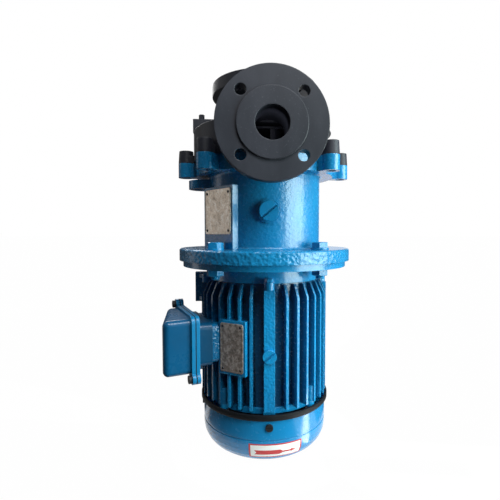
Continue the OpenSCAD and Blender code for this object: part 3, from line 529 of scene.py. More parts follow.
@dataclass(frozen=True)
class Metal:
    """Bare metal with fine turning lines and a stain cloud."""

    name: str
    base: Colour = (0.50, 0.51, 0.52)
    stain: Colour = (0.36, 0.36, 0.37)
    stain_scale: float = 120.0
    stain_span: Span = (0.4, 0.75)
    metallic: float = 0.95
    roughness: float = 0.32
    dull_span: Span = (0.35, 0.8)
    dull_rough: float = 0.2
    grain: Point = (900.0, 900.0, 6000.0)
    grain_rough: float = 0.08
    grain_height: float = 0.02 * MM
    rounding: float = 0.4 * MM

    def build(self) -> bpy.types.Material:
        """Make the material.

        Returns:
            The metal.
        """
        g = Graph(bpy.data.materials.new(self.name))
        at = g.place()
        rounded, _ = g.edges(self.rounding)
        lines = g.noise(g.stretched(at, self.grain), 1.0, 2.0, 0.6)
        cloud = g.noise(at, self.stain_scale, 3.0, 0.6)
        colour = g.mix(cloud.smooth(*self.stain_span), self.base, self.stain)
        dull = self.dull_rough * cloud.smooth(*self.dull_span)
        rough = self.roughness + dull + self.grain_rough * lines
        return g.surface({"Base Color": colour, "Metallic": self.metallic, "Roughness": rough,
                          "Normal": g.bump(lines, self.grain_height, rounded)})


@dataclass(frozen=True)
class PlateFoil:
    """Brownish aluminium of a bare plate: etched, speckled and a little dull."""

    name: str
    base: Colour = (0.72, 0.60, 0.48)
    speck: Colour = (0.18, 0.135, 0.105)
    bright: Colour = (0.94, 0.88, 0.80)
    patch_scale: float = 210.0
    shine_span: Span = (0.48, 0.62)
    shine_share: float = 0.75
    pit_span: Span = (0.55, 0.66)
    pit_share: float = 0.5
    dust_scale: float = 640.0
    dust_span: Span = (0.57, 0.66)
    glitter_span: Span = (0.60, 0.70)
    dust_and_shade_share: float = 0.6
    edge_share: float = 0.7
    metallic: float = 0.7
    roughness: float = 0.2
    cloud_scale: float = 60.0
    cloud_rough: float = 0.2
    line_stretch: Point = (260.0, 260.0, 5200.0)
    line_rough: float = 0.1
    line_share: float = 0.5
    relief: float = 0.03 * MM
    rounding: float = 0.3 * MM

    def build(self) -> bpy.types.Material:
        """Make the material.

        Returns:
            The plate's foil.
        """
        g = Graph(bpy.data.materials.new(self.name))
        at = g.place()
        rounded, edge = g.edges(self.rounding)
        patch = g.noise(at, self.patch_scale, 4.0, 0.7)
        dust_and_painted_shade = g.noise(at, self.dust_scale, 3.0, 0.7)
        cloud = g.noise(at, self.cloud_scale, 3.0)
        lines = g.noise(g.stretched(at, self.line_stretch), 1.0, 2.0)
        colour = g.mix(patch.smooth(*self.shine_span) * self.shine_share, self.base, self.bright)
        colour = g.mix((1.0 - patch).smooth(*self.pit_span) * self.pit_share, colour, self.speck)
        colour = g.mix(dust_and_painted_shade.smooth(*self.dust_span) * self.dust_and_shade_share, colour, self.speck)
        colour = g.mix((1.0 - dust_and_painted_shade).smooth(*self.glitter_span) * self.dust_and_shade_share, colour, self.bright)
        colour = g.mix(edge * self.edge_share, colour, self.bright)
        rough = self.roughness + self.cloud_rough * cloud + self.line_rough * lines
        height = dust_and_painted_shade + self.line_share * lines
        return g.surface({"Base Color": colour, "Metallic": self.metallic, "Roughness": rough,
                          "Normal": g.bump(height, self.relief, rounded)})


@dataclass(frozen=True)
class LabelPaper:
    """Plain printed label: white field, red border and one plain arrow, laid out on the piece's own map.

    The print's lengths are in parts of the label's height, with its width taken as aspect heights.
    """

    name: str
    field: Colour = (0.80, 0.79, 0.77)
    ink: Colour = (0.52, 0.03, 0.03)
    aspect: float = 2.9
    border: float = 0.08
    arrow_up: float = 0.43
    ribbon_half: float = 0.17
    ribbon_tail: float = 1.18
    ribbon_notch: float = 0.75
    ribbon_tip: float = 0.42
    ribbon_taper: float = 0.8
    shaft_half: float = 0.055
    shaft_mid: float = 0.5
    shaft_reach: float = 0.42
    head_start: float = 0.82
    head_tip: float = 1.12
    head_taper: float = 0.4
    scuffed: Colour = (0.5, 0.47, 0.44)
    scuff_scale: float = 300.0
    scuff_span: Span = (0.6, 0.75)
    scuff_share: float = 0.35
    scuff_rough: float = 0.2
    roughness: float = 0.35
    relief: float = 0.02 * MM

    def build(self) -> bpy.types.Material:
        """Make the material.

        Returns:
            The label's paper.
        """
        g = Graph(bpy.data.materials.new(self.name))
        across, up, _ = g.axes(g.node("ShaderNodeTexCoord", {}, {}, "UV"))
        run = (across - 0.5) * self.aspect
        rise = abs(up - 0.5)
        frame = rise.largest(abs(run) - (self.aspect - 1.0) / 2.0) > 0.5 - self.border
        off = abs(up - self.arrow_up)
        notched = run > self.ribbon_notch * (self.ribbon_half - off) - self.ribbon_tail
        pointed = off < (self.ribbon_tip - run) * self.ribbon_taper
        ribbon = (off < self.ribbon_half) * notched * pointed
        shaft = (off < self.shaft_half) * (abs(run - self.shaft_mid) < self.shaft_reach)
        head = (run > self.head_start) * (off < (self.head_tip - run) * self.head_taper)
        ink = frame.largest(ribbon.largest(shaft.largest(head)))
        scuff = g.noise(g.place(), self.scuff_scale, 3.0, 0.65)
        colour = g.mix(ink, self.field, self.ink)
        colour = g.mix(scuff.smooth(*self.scuff_span) * self.scuff_share, colour, self.scuffed)
        return g.surface({"Base Color": colour, "Roughness": self.roughness + self.scuff_rough * scuff,
                          "Normal": g.bump(scuff, self.relief)})


class Finishes:
    """All finishes of the pump, and which node takes which."""

    def __init__(self) -> None:
        """Build every material once."""
        rim_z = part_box("lantern")[0].z
        self.casting = Enamel("enamel_casting").build()
        self.lantern = Enamel("enamel_lantern", base=(0.007, 0.195, 0.42), deep=(0.006, 0.165, 0.37),
                              hammer_zone=(rim_z - MM, rim_z + 13.5 * MM), hammer_size=3.8 * MM,
                              hammer_height=1.1 * MM, peel_size=3.6 * MM, peel_height=0.6 * MM).build()
        # Painted shade over the frame's left side, next to the terminal box
        box_side_painted_shade = Band(turn_deg=90.0, low=53.0 * MM, high=1.0, tone=(0.0035, 0.09, 0.21), edge=5.0 * MM)
        # The frame's enamel takes painted shade between its fins
        self.frame = Enamel("enamel_frame", roughness=0.18, peel_size=3.0 * MM, peel_height=0.3 * MM,
                            hammer_size=2.8 * MM, hammer_height=0.55 * MM,
                            painted_shade_radii=(69.0 * MM, 77.0 * MM), bands=(box_side_painted_shade,)).build()
        self.sheet = Enamel("enamel_sheet", base=(0.0075, 0.21, 0.47), peel_size=3.2 * MM,
                            peel_height=0.07 * MM, roughness=0.16).build()
        # The box enamel is painted shade: a darker copy of the paint, darkest at the neck, with painted light
        # on the joint flange
        neck_painted_shade = Band(BOX_TURN_DEG, low=0.0, high=94.0 * MM, tone=(0.002, 0.045, 0.105))
        joint_painted_light = Band(BOX_TURN_DEG, low=95.0 * MM, high=104.2 * MM, tone=(0.0065, 0.19, 0.41))
        self.box = Enamel("enamel_box_painted_shade", base=(0.003, 0.08, 0.19), deep=(0.0026, 0.066, 0.158),
                          peel_height=0.05 * MM, coat=0.08, specular=0.3, roughness=0.24,
                          bands=(neck_painted_shade, joint_painted_light)).build()
        self.plastic = Moulded("plastic_casing").build()
        self.fan = Moulded("plastic_fan", base=(0.02, 0.02, 0.022), flow=(0.027, 0.027, 0.03)).build()
        self.shell = Moulded("plastic_shell", base=(0.22, 0.22, 0.2), flow=(0.27, 0.27, 0.24),
                             rubbed=(0.4, 0.4, 0.37)).build()
        self.ceramic = Moulded("ceramic", base=(0.82, 0.77, 0.66), flow=(0.86, 0.82, 0.72),
                               rubbed=(0.9, 0.87, 0.8), roughness=0.22, grain_height=0.005 * MM,
                               rounding=0.4 * MM).build()
        self.carbon = Moulded("carbon", base=(0.028, 0.028, 0.03), flow=(0.036, 0.036, 0.038),
                              rubbed=(0.09, 0.09, 0.095), roughness=0.38, rounding=0.4 * MM).build()
        self.rubber = Moulded("rubber", base=(0.006, 0.007, 0.009), flow=(0.009, 0.010, 0.012),
                              rubbed=(0.02, 0.021, 0.024), roughness=0.55, rounding=0.3 * MM,
                              specular=0.15).build()
        self.phenolic = Moulded("phenolic", base=(0.09, 0.032, 0.014), flow=(0.12, 0.045, 0.02),
                                rubbed=(0.2, 0.1, 0.06), roughness=0.3).build()
        self.steel = Metal("steel").build()
        self.black_steel = Metal("black_steel", base=(0.045, 0.045, 0.05), stain=(0.03, 0.03, 0.033),
                                 metallic=0.8, roughness=0.4).build()
        self.iron = Metal("sintered_iron", base=(0.16, 0.165, 0.175), stain=(0.11, 0.11, 0.115),
                          roughness=0.45).build()
        self.copper = Metal("copper", base=(0.55, 0.2, 0.075), stain=(0.4, 0.13, 0.05), roughness=0.3,
                            grain=(1500.0, 1500.0, 900.0)).build()
        self.brass = Metal("brass", base=(0.62, 0.43, 0.15), stain=(0.45, 0.3, 0.1)).build()
        self.aluminium = Metal("aluminium", base=(0.6, 0.61, 0.63), stain=(0.45, 0.46, 0.48),
                               roughness=0.38).build()
        self.foil = PlateFoil("plate_foil").build()
        self.dull_foil = PlateFoil("plate_foil_dull", base=(0.25, 0.205, 0.18), speck=(0.045, 0.036, 0.032),
                                   bright=(0.56, 0.48, 0.43), metallic=0.3, roughness=0.32).build()
        self.label = LabelPaper("label_paper").build()

    def by_node(self) -> dict[str, bpy.types.Material]:
        """Which finish each CAD node takes.

        Returns:
            Materials by node.
        """
        groups: list[tuple[bpy.types.Material, str]] = [
            (self.lantern, "lantern"),
            (self.casting, "lantern_plug frame_plug drive_end_shield rear_end_shield flange_bolts "
                           "flange_washers flange_nuts drive_shield_screws"),
            (self.frame, "motor_frame"),
            (self.sheet, "fan_cover"),
            (self.box, "terminal_box_base terminal_box_lid"),
            (self.plastic, "pump_casing vent_plug impeller magnet_carrier carrier_cap cable_gland"),
            (self.fan, "cooling_fan"),
            (self.shell, "containment_shell"),
            (self.ceramic, "mouth_ring front_thrust_ring rear_thrust_ring spindle"),
            (self.carbon, "front_bush rear_bush"),
            (self.rubber, "casing_o_ring shaft_seal terminal_box_gasket"),
            (self.phenolic, "terminal_block"),
            (self.steel, "outer_magnet_hub hub_key motor_shaft drive_bearing_outer drive_bearing_inner "
                         "drive_bearing_balls rear_bearing_outer rear_bearing_inner rear_bearing_balls "
                         "wave_spring fan_circlip rear_shield_screws casing_screws"),
            (self.black_steel, "hub_set_screw lid_screws fan_cover_screws"),
            (self.iron, "inner_magnets outer_magnets stator_core rotor_core"),
            (self.copper, "stator_windings"),
            (self.brass, "casing_inserts terminal_studs"),
            (self.aluminium, "rotor_end_rings"),
        ]
        return {node: finish for finish, names in groups for node in names.split()}

    def dress(self, nodes: dict[str, bpy.types.Object]) -> None:
        """Give every CAD node its finish.

        Args:
            nodes: The frame's node objects.
        """
        finish_of = self.by_node()
        for name, obj in nodes.items():
            obj.data.materials.clear()
            obj.data.materials.append(finish_of[name])


def faced(turn_deg: float, radius: float, height: float) -> Matrix:
    """Place of a flat that faces outwards, turned from the discharge side towards the left.

    Args:
        turn_deg: The turn in degrees.
        radius: The flat's distance from the shaft axis.
        height: The height of its centre.

    Returns:
        A matrix from the flat's own frame (x across, y up, z outwards).
    """
    turn = math.radians(turn_deg)
    out = Vector((-math.sin(turn), -math.cos(turn), 0.0))
    up = Vector((0.0, 0.0, 1.0))
    across = up.cross(out)
    spot = out * radius + up * height
    return Matrix([[across[k], up[k], out[k], spot[k]] for k in range(3)] + [[0.0, 0.0, 0.0, 1.0]])


def piece(name: str, bm: bmesh.types.BMesh, materials: list[bpy.types.Material], body: Body,
          smooth_deg: float = 35.0) -> bpy.types.Object:
    """Turn a bmesh into a finished piece that rides on a body.

    Args:
        name: The piece's name.
        bm: Its shape in the row frame.
        materials: Materials by face index.
        body: The body that it rides on.
        smooth_deg: Edges sharper than this stay sharp.

    Returns:
        The new object.
    """
    bmesh.ops.remove_doubles(bm, verts=bm.verts, dist=MERGE)
    bmesh.ops.recalc_face_normals(bm, faces=bm.faces)
    for face in bm.faces:
        face.smooth = True
    for edge in bm.edges:
        edge.smooth = not edge.is_manifold or edge.calc_face_angle(0.0) < math.radians(smooth_deg)
    mesh = bpy.data.meshes.new(name)
    bm.to_mesh(mesh)
    bm.free()
    obj = bpy.data.objects.new(name, mesh)
    bpy.context.scene.collection.objects.link(obj)
    for material in materials:
        mesh.materials.append(material)
    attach(obj, body.value)
    log.info("piece %s: %d faces", name, len(mesh.polygons))
    return obj


def domed_head(bm: bmesh.types.BMesh, radius: float, height: float, place: Matrix, index: int) -> None:
    """Add a domed rivet head, cut off a little below its middle.

    Args:
        bm: The shape that takes it.
        radius: The head's radius.
        height: The head's height.
        place: Its place, z outwards.
        index: Its material index.
    """
    foot = (0.0, 0.0, -0.1)
    made = bmesh.ops.create_uvsphere(bm, u_segments=20, v_segments=12, radius=1.0)["verts"]
    faces = {f for v in made for f in v.link_faces}
    edges = {e for v in made for e in v.link_edges}
    cut = bmesh.ops.bisect_plane(bm, geom=[*made, *edges, *faces], plane_co=foot, plane_no=(0, 0, 1),
                                 clear_inner=True)["geom_cut"]
    verts = [v for v in made if v.is_valid]
    verts += [v for v in cut if isinstance(v, bmesh.types.BMVert)]
    bmesh.ops.transform(bm, matrix=place @ Matrix.Diagonal((radius, radius, height, 1.0)), verts=verts)
    for face in {f for v in verts for f in v.link_faces}:
        face.material_index = index


@dataclass
class RivetedPlate:
    """A bare plate on a flat pad, held by four domed rivets."""

    name: str
    turn_deg: float
    pad_radius: float
    centre_z: float
    width: float
    height: float
    thickness: float = 0.9 * MM
    corner: float = 2.5 * MM
    corner_steps: int = 6
    edge: float = 0.25 * MM
    rim: float = 1.1 * MM
    sink: float = 0.18 * MM
    rivet_r: float = 1.7 * MM
    rivet_h: float = 0.8 * MM
    rivet_in: float = 4.2 * MM

    def build(self, finishes: Finishes, foil: bpy.types.Material) -> bpy.types.Object:
        """Build the plate with its rivets.

        Args:
            finishes: The pump's finishes.
            foil: The plate's own finish.

        Returns:
            The plate.
        """
        bm = bmesh.new()
        bmesh.ops.create_cube(bm, size=1.0)
        bmesh.ops.scale(bm, vec=(self.width, self.height, self.thickness), verts=bm.verts)
        bmesh.ops.translate(bm, vec=(0, 0, self.thickness / 2), verts=bm.verts)
        upright = [e for e in bm.edges if abs((e.verts[0].co - e.verts[1].co).normalized().z) > 0.9]
        bmesh.ops.bevel(bm, geom=upright, offset=self.corner, affect="EDGES", segments=self.corner_steps,
                        profile=0.5, material=-1)
        front = max(bm.faces, key=lambda f: f.calc_center_median().z)
        bmesh.ops.bevel(bm, geom=list(front.edges), offset=self.edge, affect="EDGES", segments=2,
                        profile=0.5, material=-1)
        front = max(bm.faces, key=lambda f: f.calc_area() * (f.normal.z > 0.9))
        bmesh.ops.inset_region(bm, faces=[front], thickness=self.rim, depth=0.0)
        bmesh.ops.inset_region(bm, faces=[front], thickness=self.sink, depth=-self.sink)
        place = faced(self.turn_deg, self.pad_radius, self.centre_z)
        bmesh.ops.transform(bm, matrix=place, verts=bm.verts)
        across = self.width / 2 - self.rivet_in
        up = self.height / 2 - self.rivet_in
        for sx in (-1, 1):
            for sy in (-1, 1):
                spot = Vector((sx * across, sy * up, self.thickness - self.sink))
                domed_head(bm, self.rivet_r, self.rivet_h, place @ Matrix.Translation(spot), 1)
        return piece(self.name, bm, [foil, finishes.black_steel], Body.PUMP)


def skin(bm: bmesh.types.BMesh, outline: list[list[Vector]], closed: bool = False) -> None:
    """Add closed rows of points and join neighbouring rows with faces.

    Args:
        bm: The shape that takes them.
        outline: Rows of equal length, in order.
        closed: Whether the last row joins the first, as in a ring.
    """
    rows = [[bm.verts.new(point) for point in row] for row in outline]
    pairs = list(zip(rows, rows[1:])) + ([(rows[-1], rows[0])] if closed else [])
    for low, high in pairs:
        for k, v in enumerate(low):
            n = (k + 1) % len(low)
            bm.faces.new((v, low[n], high[n], high[k]))
    if not closed:
        bm.faces.new(reversed(rows[0]))
        bm.faces.new(rows[-1])


@dataclass
class FlangeFasteners:
    """The painted hexagon bolts and nuts of the motor flange, with chamfers and thread ends."""

    circle_r: float = 82.5 * MM
    first_deg: float = 45.0
    count: int = 4
    corner_r: float = 9.8 * MM
    head_h: float = 6.4 * MM
    shank_r: float = 5.0 * MM
    bore_r: float = 5.05 * MM
    pitch: float = 1.5 * MM
    thread_d: float = 0.75 * MM
    crest: Span = (0.45, 0.55)
    tip_in: float = 1.1 * MM
    tip_h: float = 0.5 * MM
    chamfer_deg: float = 28.0
    chamfer_share: float = 0.93
    chamfer_steps: int = 6
    segments: int = 48

    def _spots(self) -> list[tuple[Vector, float]]:
        """Bolt centres with the turn of each.

        Returns:
            Centres at floor level and turns in radians.
        """
        turns = [math.radians(self.first_deg + 360.0 / self.count * k) for k in range(self.count)]
        return [(Vector((self.circle_r * math.cos(t), self.circle_r * math.sin(t), 0.0)), t) for t in turns]

    def _row(self, spot: Vector, turn: float, limit: float, z: float, flat: float = 1.0) -> list[Vector]:
        """One row of a hexagon that a round limit cuts.

        Args:
            spot: The centre.
            turn: The hexagon's turn.
            limit: The largest radius.
            z: The height.
            flat: The distance of the hexagon's sides from the centre, far out where the row is round.

        Returns:
            The row's points.
        """
        points = []
        for k in range(self.segments):
            angle = 2.0 * math.pi * k / self.segments
            side = angle % (2.0 * HEX_HALF) - HEX_HALF
            r = min(flat / math.cos(side), limit)
            points.append(spot + Vector((r * math.cos(angle + turn), r * math.sin(angle + turn), z)))
        return points

    def _end(self, spot: Vector, turn: float, z: float, inwards: int) -> list[list[Vector]]:
        """The chamfered end of a hexagon.

        Args:
            spot: The centre.
            turn: The hexagon's turn.
            z: The height of the end face.
            inwards: 1 where the rest lies above the end face, -1 where it lies below.

        Returns:
            Rows from the end face inwards.
        """
        flat = self.corner_r * math.cos(HEX_HALF)
        inner = self.chamfer_share * flat
        cut = self.corner_r - inner
        depth = inwards * cut * math.tan(math.radians(self.chamfer_deg))
        shares = [k / self.chamfer_steps for k in range(self.chamfer_steps + 1)]
        return [self._row(spot, turn, inner + cut * k, z + depth * k, flat) for k in shares]

    def bolts(self, finishes: Finishes) -> bpy.types.Object:
        """Build the bolts.

        Args:
            finishes: The pump's finishes.

        Returns:
            The set of bolts.
        """
        low, high = (corner.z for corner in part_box("flange_bolts"))
        nut_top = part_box("flange_nuts")[1].z
        under = high - self.head_h
        root_r = self.shank_r - self.thread_d
        turns = int((nut_top - low - self.pitch) / self.pitch)
        profile = [(self.shank_r - self.tip_in, low), (root_r, low + self.tip_h)]
        for k in range(turns):
            z = low + self.tip_h + k * self.pitch
            profile += [(self.shank_r, z + share * self.pitch) for share in self.crest]
            profile += [(root_r, z + self.pitch)]
        profile += [(self.shank_r, nut_top), (self.shank_r, under)]
        bm = bmesh.new()
        for spot, turn in self._spots():
            shank = [self._row(spot, turn, r, z) for r, z in profile]
            head = self._end(spot, turn, high, -1)
            head.append([Vector((point.x, point.y, under)) for point in head[-1]])
            skin(bm, shank + head[::-1])
        made = piece("flange_bolt_set", bm, [finishes.casting], Body.PUMP)
        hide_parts("flange_bolts")
        return made

    def nuts(self, finishes: Finishes) -> bpy.types.Object:
        """Build the nuts.

        Args:
            finishes: The pump's finishes.

        Returns:
            The set of nuts.
        """
        low, high = (corner.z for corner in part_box("flange_nuts"))
        bm = bmesh.new()
        for spot, turn in self._spots():
            sides = self._end(spot, turn, low, 1) + self._end(spot, turn, high, -1)[::-1]
            bore = [self._row(spot, turn, self.bore_r, z) for z in (high, low)]
            skin(bm, sides + bore, closed=True)
        made = piece("flange_nut_set", bm, [finishes.casting], Body.PUMP)
        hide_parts("flange_nuts")
        return made


@dataclass
class CoverEdgingAndGapShade:
    """Black rubber edging that grips the lip of the fan cover's mouth, made tall and near black so that it
    also stands for the shaded gap there: partly painted shade.
    """

    name: str = "cover_edging_and_gap_shade"
    wall_r: float = 76.0 * MM
    lip_out: float = 2.5 * MM
    sheet: float = 1.5 * MM
    skin_t: float = 0.6 * MM
    slack: float = 0.06 * MM
    steps: int = 120

    def build(self, finishes: Finishes) -> bpy.types.Object:
        """Build the edging.

        Args:
            finishes: The pump's finishes.

        Returns:
            The edging.
        """
        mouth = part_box("fan_cover")[1].z
        slack = self.slack
        outer = self.wall_r + self.lip_out
        inner = outer - self.sheet
        # Section of the edging as radius and height: outer flap, crown, inner flap, then back along the sheet
        profile = [(self.wall_r + slack, mouth - 6.8 * MM), (outer - 1.4 * MM, mouth - 6.6 * MM),
                   (outer + self.skin_t, mouth - 4.6 * MM), (outer + self.skin_t, mouth + 0.4 * MM),
                   (outer + 0.5 * MM, mouth + self.skin_t), (inner - 0.3 * MM, mouth + self.skin_t),
                   (inner - self.skin_t, mouth + 0.3 * MM), (inner - self.skin_t, mouth - 2.5 * MM),
                   (inner - slack, mouth - 2.9 * MM), (inner - slack, mouth + slack),
                   (outer + slack, mouth + slack), (outer + slack, mouth - 4.0 * MM),
                   (self.wall_r + slack, mouth - 6.2 * MM)]
        bm = bmesh.new()
        line = [bm.verts.new((r, 0.0, z)) for r, z in profile]
        edges = [bm.edges.new(pair) for pair in zip(line, [*line[1:], line[0]])]
        bmesh.ops.spin(bm, geom=[*line, *edges], cent=(0, 0, 0), axis=(0, 0, 1), angle=2.0 * math.pi,
                       steps=self.steps, use_merge=True)
        return piece(self.name, bm, [finishes.rubber], Body.PUMP, smooth_deg=50.0)


@dataclass
class CoverLabel:
    """The plain label that bends over the fan cover's lower rounding."""

    name: str = "cover_label"
    wall_r: float = 76.0 * MM
    round_r: float = 25.0 * MM
    turn_deg: float = -6.0
    width: float = 58.0 * MM
    height: float = 17.5 * MM
    start: float = 27.5 * MM
    bend_in: float = 4.0 * MM
    lift: float = 0.12 * MM
    film: float = 0.1 * MM
    columns: int = 36
    rows: int = 14

    def _spot(self, across: float, down: float) -> Vector:
        """Map a point of the flat label onto the cover.

        Args:
            across: Distance from the label's centre line.
            down: Distance below its upper edge.

        Returns:
            The point in the row frame.
        """
        level = self.start - down
        if level >= self.round_r:
            radius = self.wall_r + self.lift
            z = level
        else:
            angle = (self.round_r - level) / self.round_r
            reach = self.round_r + self.lift
            radius = self.wall_r - self.round_r + reach * math.cos(angle)
            z = self.round_r - reach * math.sin(angle)
        turn = across / (self.wall_r - self.bend_in) - math.radians(self.turn_deg)
        return Vector((radius * math.sin(turn), -radius * math.cos(turn), z))

    def build(self, finishes: Finishes) -> bpy.types.Object:
        """Build the label.

        Args:
            finishes: The pump's finishes.

        Returns:
            The label.
        """
        bm = bmesh.new()
        bmesh.ops.create_grid(bm, x_segments=self.columns, y_segments=self.rows, size=0.5)
        uv = bm.loops.layers.uv.new("UVMap")
        for face in bm.faces:
            for loop in face.loops:
                loop[uv].uv = (loop.vert.co.x + 0.5, loop.vert.co.y + 0.5)
        for v in bm.verts:
            v.co = self._spot(v.co.x * self.width, (0.5 - v.co.y) * self.height)
        bmesh.ops.recalc_face_normals(bm, faces=bm.faces)
        outward = sum(f.normal.xy.dot(f.calc_center_median().xy) for f in bm.faces)
        if outward < 0.0:
            bmesh.ops.reverse_faces(bm, faces=bm.faces)
        bmesh.ops.solidify(bm, geom=bm.faces, thickness=self.film)
        return piece(self.name, bm, [finishes.label], Body.PUMP)


@dataclass(frozen=True)
class Lamp:
    """A soft box: its place, size and power, whether gloss shows it, its colour and what it faces."""

    name: str
    place: Point
    size: Span
    watts: float
    mirrored: bool = True
    tint: Colour = WHITE
    target: Point = (0.0, 0.0, 0.22)

    def build(self) -> None:
        """Add the lamp."""
        data = bpy.data.lights.new(self.name, "AREA")
        data.shape = "RECTANGLE"
        data.size, data.size_y = self.size
        data.energy = self.watts
        data.color = self.tint
        lamp = bpy.data.objects.new(self.name, data)
        lamp.location = self.place
        lamp.visible_glossy = self.mirrored
        lamp.visible_camera = False
        aim = Vector(self.target) - Vector(self.place)
        lamp.rotation_euler = aim.to_track_quat("-Z", "Y").to_euler()
        bpy.context.scene.collection.objects.link(lamp)


@dataclass(frozen=True)
class Screen:
    """Where a curved screen starts and ends, turned from the front towards the right, and its grey."""

    first_deg: float
    last_deg: float
    grey: float


@dataclass
class Studio:
    """White floor and surround, soft lamps, the camera, and dark screens and a bright patch for the gloss.

    The eye's height counts from the lantern's foot, and bore_drop from the casing's top to the bore.
    """

    eye: Point = (-0.0349, -0.4757, 0.033)
    pitch_deg: float = 2.65
    turn_deg: float = 4.2
    focal_px: float = 377.7
    frame_px: float = 500.0
    axis_px: float = 264.2
    sensor_mm: float = 36.0
    near: float = 0.02
    ambient: float = 0.2
    floor_tone: Colour = (0.85, 0.845, 0.84)
    floor_share: float = 0.993
    floor_r: float = 30.0
    floor_z: float = -0.5 * MM
    steps: int = 48
    screens: tuple[Screen, ...] = (Screen(-72.0, 38.0, 0.04), Screen(-100.0, -72.0, 0.12),
                                   Screen(-188.0, -115.0, 0.06), Screen(79.0, 150.0, 0.08))
    screen_r: float = 1.05
    screen_h: float = 1.0
    screen_foot: float = 0.12
    screen_z: float = 1.0 * MM
    ceiling_r: float = 1.0
    ceiling_z: float = 1.5
    ceiling_grey: float = 0.12
    lamps: tuple[Lamp, ...] = (
        Lamp("side", (0.98, 0.05, 0.36), (0.6, 1.0), watts=11.0, mirrored=False),
        Lamp("strip", (0.983, -0.688, 0.30), (1.1, 1.0), watts=30.0, tint=(0.8, 1.0, 0.95)),
        Lamp("back", (-0.4, 0.95, 0.8), (0.6, 0.6), watts=9.0),
        Lamp("top", (0.32, -0.72, 1.25), (0.7, 0.5), watts=15.0),
    )
    bore_drop: float = 73.5 * MM
    bore_out: float = 0.1
    bore_size: Span = (0.012, 0.012)
    bore_watts: float = 0.005
    glint: float = 10.0
    glint_size: Span = (0.16, 0.026)
    glint_deg: float = -8.0
    glint_spot: Point = (0.142, -0.081, 0.002)

    def build(self) -> None:
        """Build the whole studio."""
        self._world()
        self._floor()
        for number, screen in enumerate(self.screens):
            self._screen(f"screen_{number}", screen)
        self._ceiling()
        for lamp in self.lamps:
            lamp.build()
        bore_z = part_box("pump_casing")[1].z - self.bore_drop
        Lamp("bore", (0.0, -self.bore_out, bore_z), self.bore_size, self.bore_watts, mirrored=False,
             target=(0.0, 0.0, bore_z)).build()
        self._glint()
        self._camera()

    def _world(self) -> None:
        """White surround for the camera and mirrors, grey light for the rest."""
        world = bpy.data.worlds.new("surround")
        bpy.context.scene.world = world
        g = Graph(world)
        soft = g.node("ShaderNodeBackground", {}, {"Color": WHITE, "Strength": self.ambient})
        white = g.node("ShaderNodeBackground", {}, {"Color": WHITE})
        g.close(g.blend(g.seen(), soft, white), "ShaderNodeOutputWorld")

    def _floor(self) -> None:
        """A wide pale floor that keeps the shadow."""
        bm = bmesh.new()
        bmesh.ops.create_circle(bm, cap_ends=True, segments=2 * self.steps, radius=self.floor_r)
        bmesh.ops.translate(bm, vec=(0.0, 0.0, self.floor_z), verts=bm.verts)
        g = Graph(bpy.data.materials.new("floor_white"))
        matt = g.node("ShaderNodeBsdfDiffuse", {}, {"Color": self.floor_tone})
        glow = g.node("ShaderNodeEmission", {}, {"Color": WHITE})
        g.close(g.blend(g.seen() * self.floor_share, matt, glow), "ShaderNodeOutputMaterial")
        self._stage("floor", bm, g.owner)

    def _screen(self, name: str, screen: Screen) -> None:
        """Add a curved dark screen with a dark foot on the floor.

        Args:
            name: The screen's name.
            screen: Its reach and grey.
        """
        bm = bmesh.new()
        first = math.radians(screen.first_deg)
        low = self.screen_z
        reach = [(self.screen_foot, low), (self.screen_r, low), (self.screen_r, self.screen_h)]
        line = [bm.verts.new((r * math.sin(first), -r * math.cos(first), z)) for r, z in reach]
        edges = [bm.edges.new(pair) for pair in zip(line, line[1:])]
        bmesh.ops.spin(bm, geom=[*line, *edges], cent=(0, 0, 0), axis=(0, 0, 1),
                       angle=math.radians(screen.last_deg - screen.first_deg), steps=self.steps)
        self._veil(name, bm, screen.grey)

    def _ceiling(self) -> None:
        """Add a dark round ceiling for what faces up."""
        bm = bmesh.new()
        bmesh.ops.create_circle(bm, cap_ends=True, segments=self.steps, radius=self.ceiling_r)
        bmesh.ops.translate(bm, vec=(0.0, 0.0, self.ceiling_z), verts=bm.verts)
        self._veil("ceiling", bm, self.ceiling_grey)

    def _glint(self) -> None:
        """Add a small bright patch on the floor, which only gloss shows."""
        bm = bmesh.new()
        turn = Matrix.Rotation(math.radians(self.glint_deg), 3, "Z")
        bmesh.ops.create_grid(bm, x_segments=1, y_segments=1, size=0.5)
        bmesh.ops.scale(bm, vec=(*self.glint_size, 1.0), verts=bm.verts)
        bmesh.ops.rotate(bm, cent=(0, 0, 0), matrix=turn, verts=bm.verts)
        bmesh.ops.translate(bm, vec=self.glint_spot, verts=bm.verts)
        self._veil("glint", bm, self.glint).visible_diffuse = False

    def _veil(self, name: str, bm: bmesh.types.BMesh, grey: float) -> bpy.types.Object:
        """Turn a shape into a screen that the camera looks through.

        Args:
            name: The screen's name.
            bm: Its shape.
            grey: How light it is.

        Returns:
            The screen.
        """
        g = Graph(bpy.data.materials.new(name))
        camera = g.node("ShaderNodeLightPath", {}, {}, "Is Camera Ray")
        glow = g.node("ShaderNodeEmission", {}, {"Strength": grey})
        clear = g.node("ShaderNodeBsdfTransparent", {}, {})
        g.close(g.blend(camera, glow, clear), "ShaderNodeOutputMaterial")
        return self._stage(name, bm, g.owner)

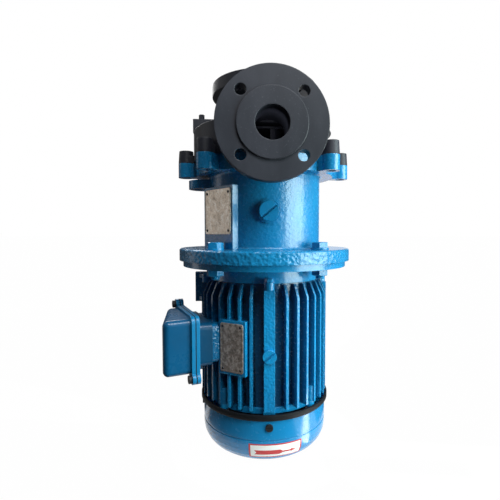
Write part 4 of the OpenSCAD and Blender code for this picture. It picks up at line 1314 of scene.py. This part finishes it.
    @staticmethod
    def _stage(name: str, bm: bmesh.types.BMesh, material: bpy.types.Material) -> bpy.types.Object:
        """Turn a shape into a part of the studio.

        Args:
            name: Its name.
            bm: Its shape.
            material: Its material.

        Returns:
            The new object.
        """
        mesh = bpy.data.meshes.new(name)
        bm.to_mesh(mesh)
        bm.free()
        mesh.materials.append(material)
        made = bpy.data.objects.new(name, mesh)
        bpy.context.scene.collection.objects.link(made)
        return made

    def _camera(self) -> None:
        """Set the camera at the photograph's viewing angle."""
        data = bpy.data.cameras.new("camera")
        data.sensor_width = self.sensor_mm
        data.lens = self.focal_px / self.frame_px * data.sensor_width
        data.shift_x = -(self.axis_px - self.frame_px / 2) / self.frame_px
        data.clip_start = self.near
        camera = bpy.data.objects.new("camera", data)
        across, away, rise = self.eye
        camera.location = (across, away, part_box("lantern")[0].z + rise)
        camera.rotation_euler = (math.radians(90.0 - self.pitch_deg), 0.0, math.radians(-self.turn_deg))
        bpy.context.scene.collection.objects.link(camera)
        bpy.context.scene.camera = camera


def main() -> None:
    """Build the dressed pump and its studio."""
    logging.basicConfig(level=logging.INFO, format="%(name)s: %(message)s")
    for obj in list(bpy.data.objects):
        bpy.data.objects.remove(obj)
    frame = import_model()
    bpy.context.scene.view_settings.view_transform = "Standard"
    finishes = Finishes()
    finishes.dress(frame["nodes"])
    lantern_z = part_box("lantern")[0].z
    frame_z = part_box("motor_frame")[0].z
    RivetedPlate("lantern_plate", turn_deg=53.0, pad_radius=70.0 * MM, centre_z=lantern_z + 56.5 * MM,
                 width=50.0 * MM, height=51.0 * MM).build(finishes, finishes.foil)
    RivetedPlate("motor_plate", turn_deg=31.0, pad_radius=78.5 * MM, centre_z=frame_z + 73.0 * MM,
                 width=29.0 * MM, height=54.0 * MM, rivet_r=1.4 * MM,
                 rivet_in=3.4 * MM).build(finishes, finishes.dull_foil)
    fasteners = FlangeFasteners()
    fasteners.bolts(finishes)
    fasteners.nuts(finishes)
    CoverEdgingAndGapShade().build(finishes)
    CoverLabel().build(finishes)
    Studio().build()


if __name__ == "__main__":
    main()
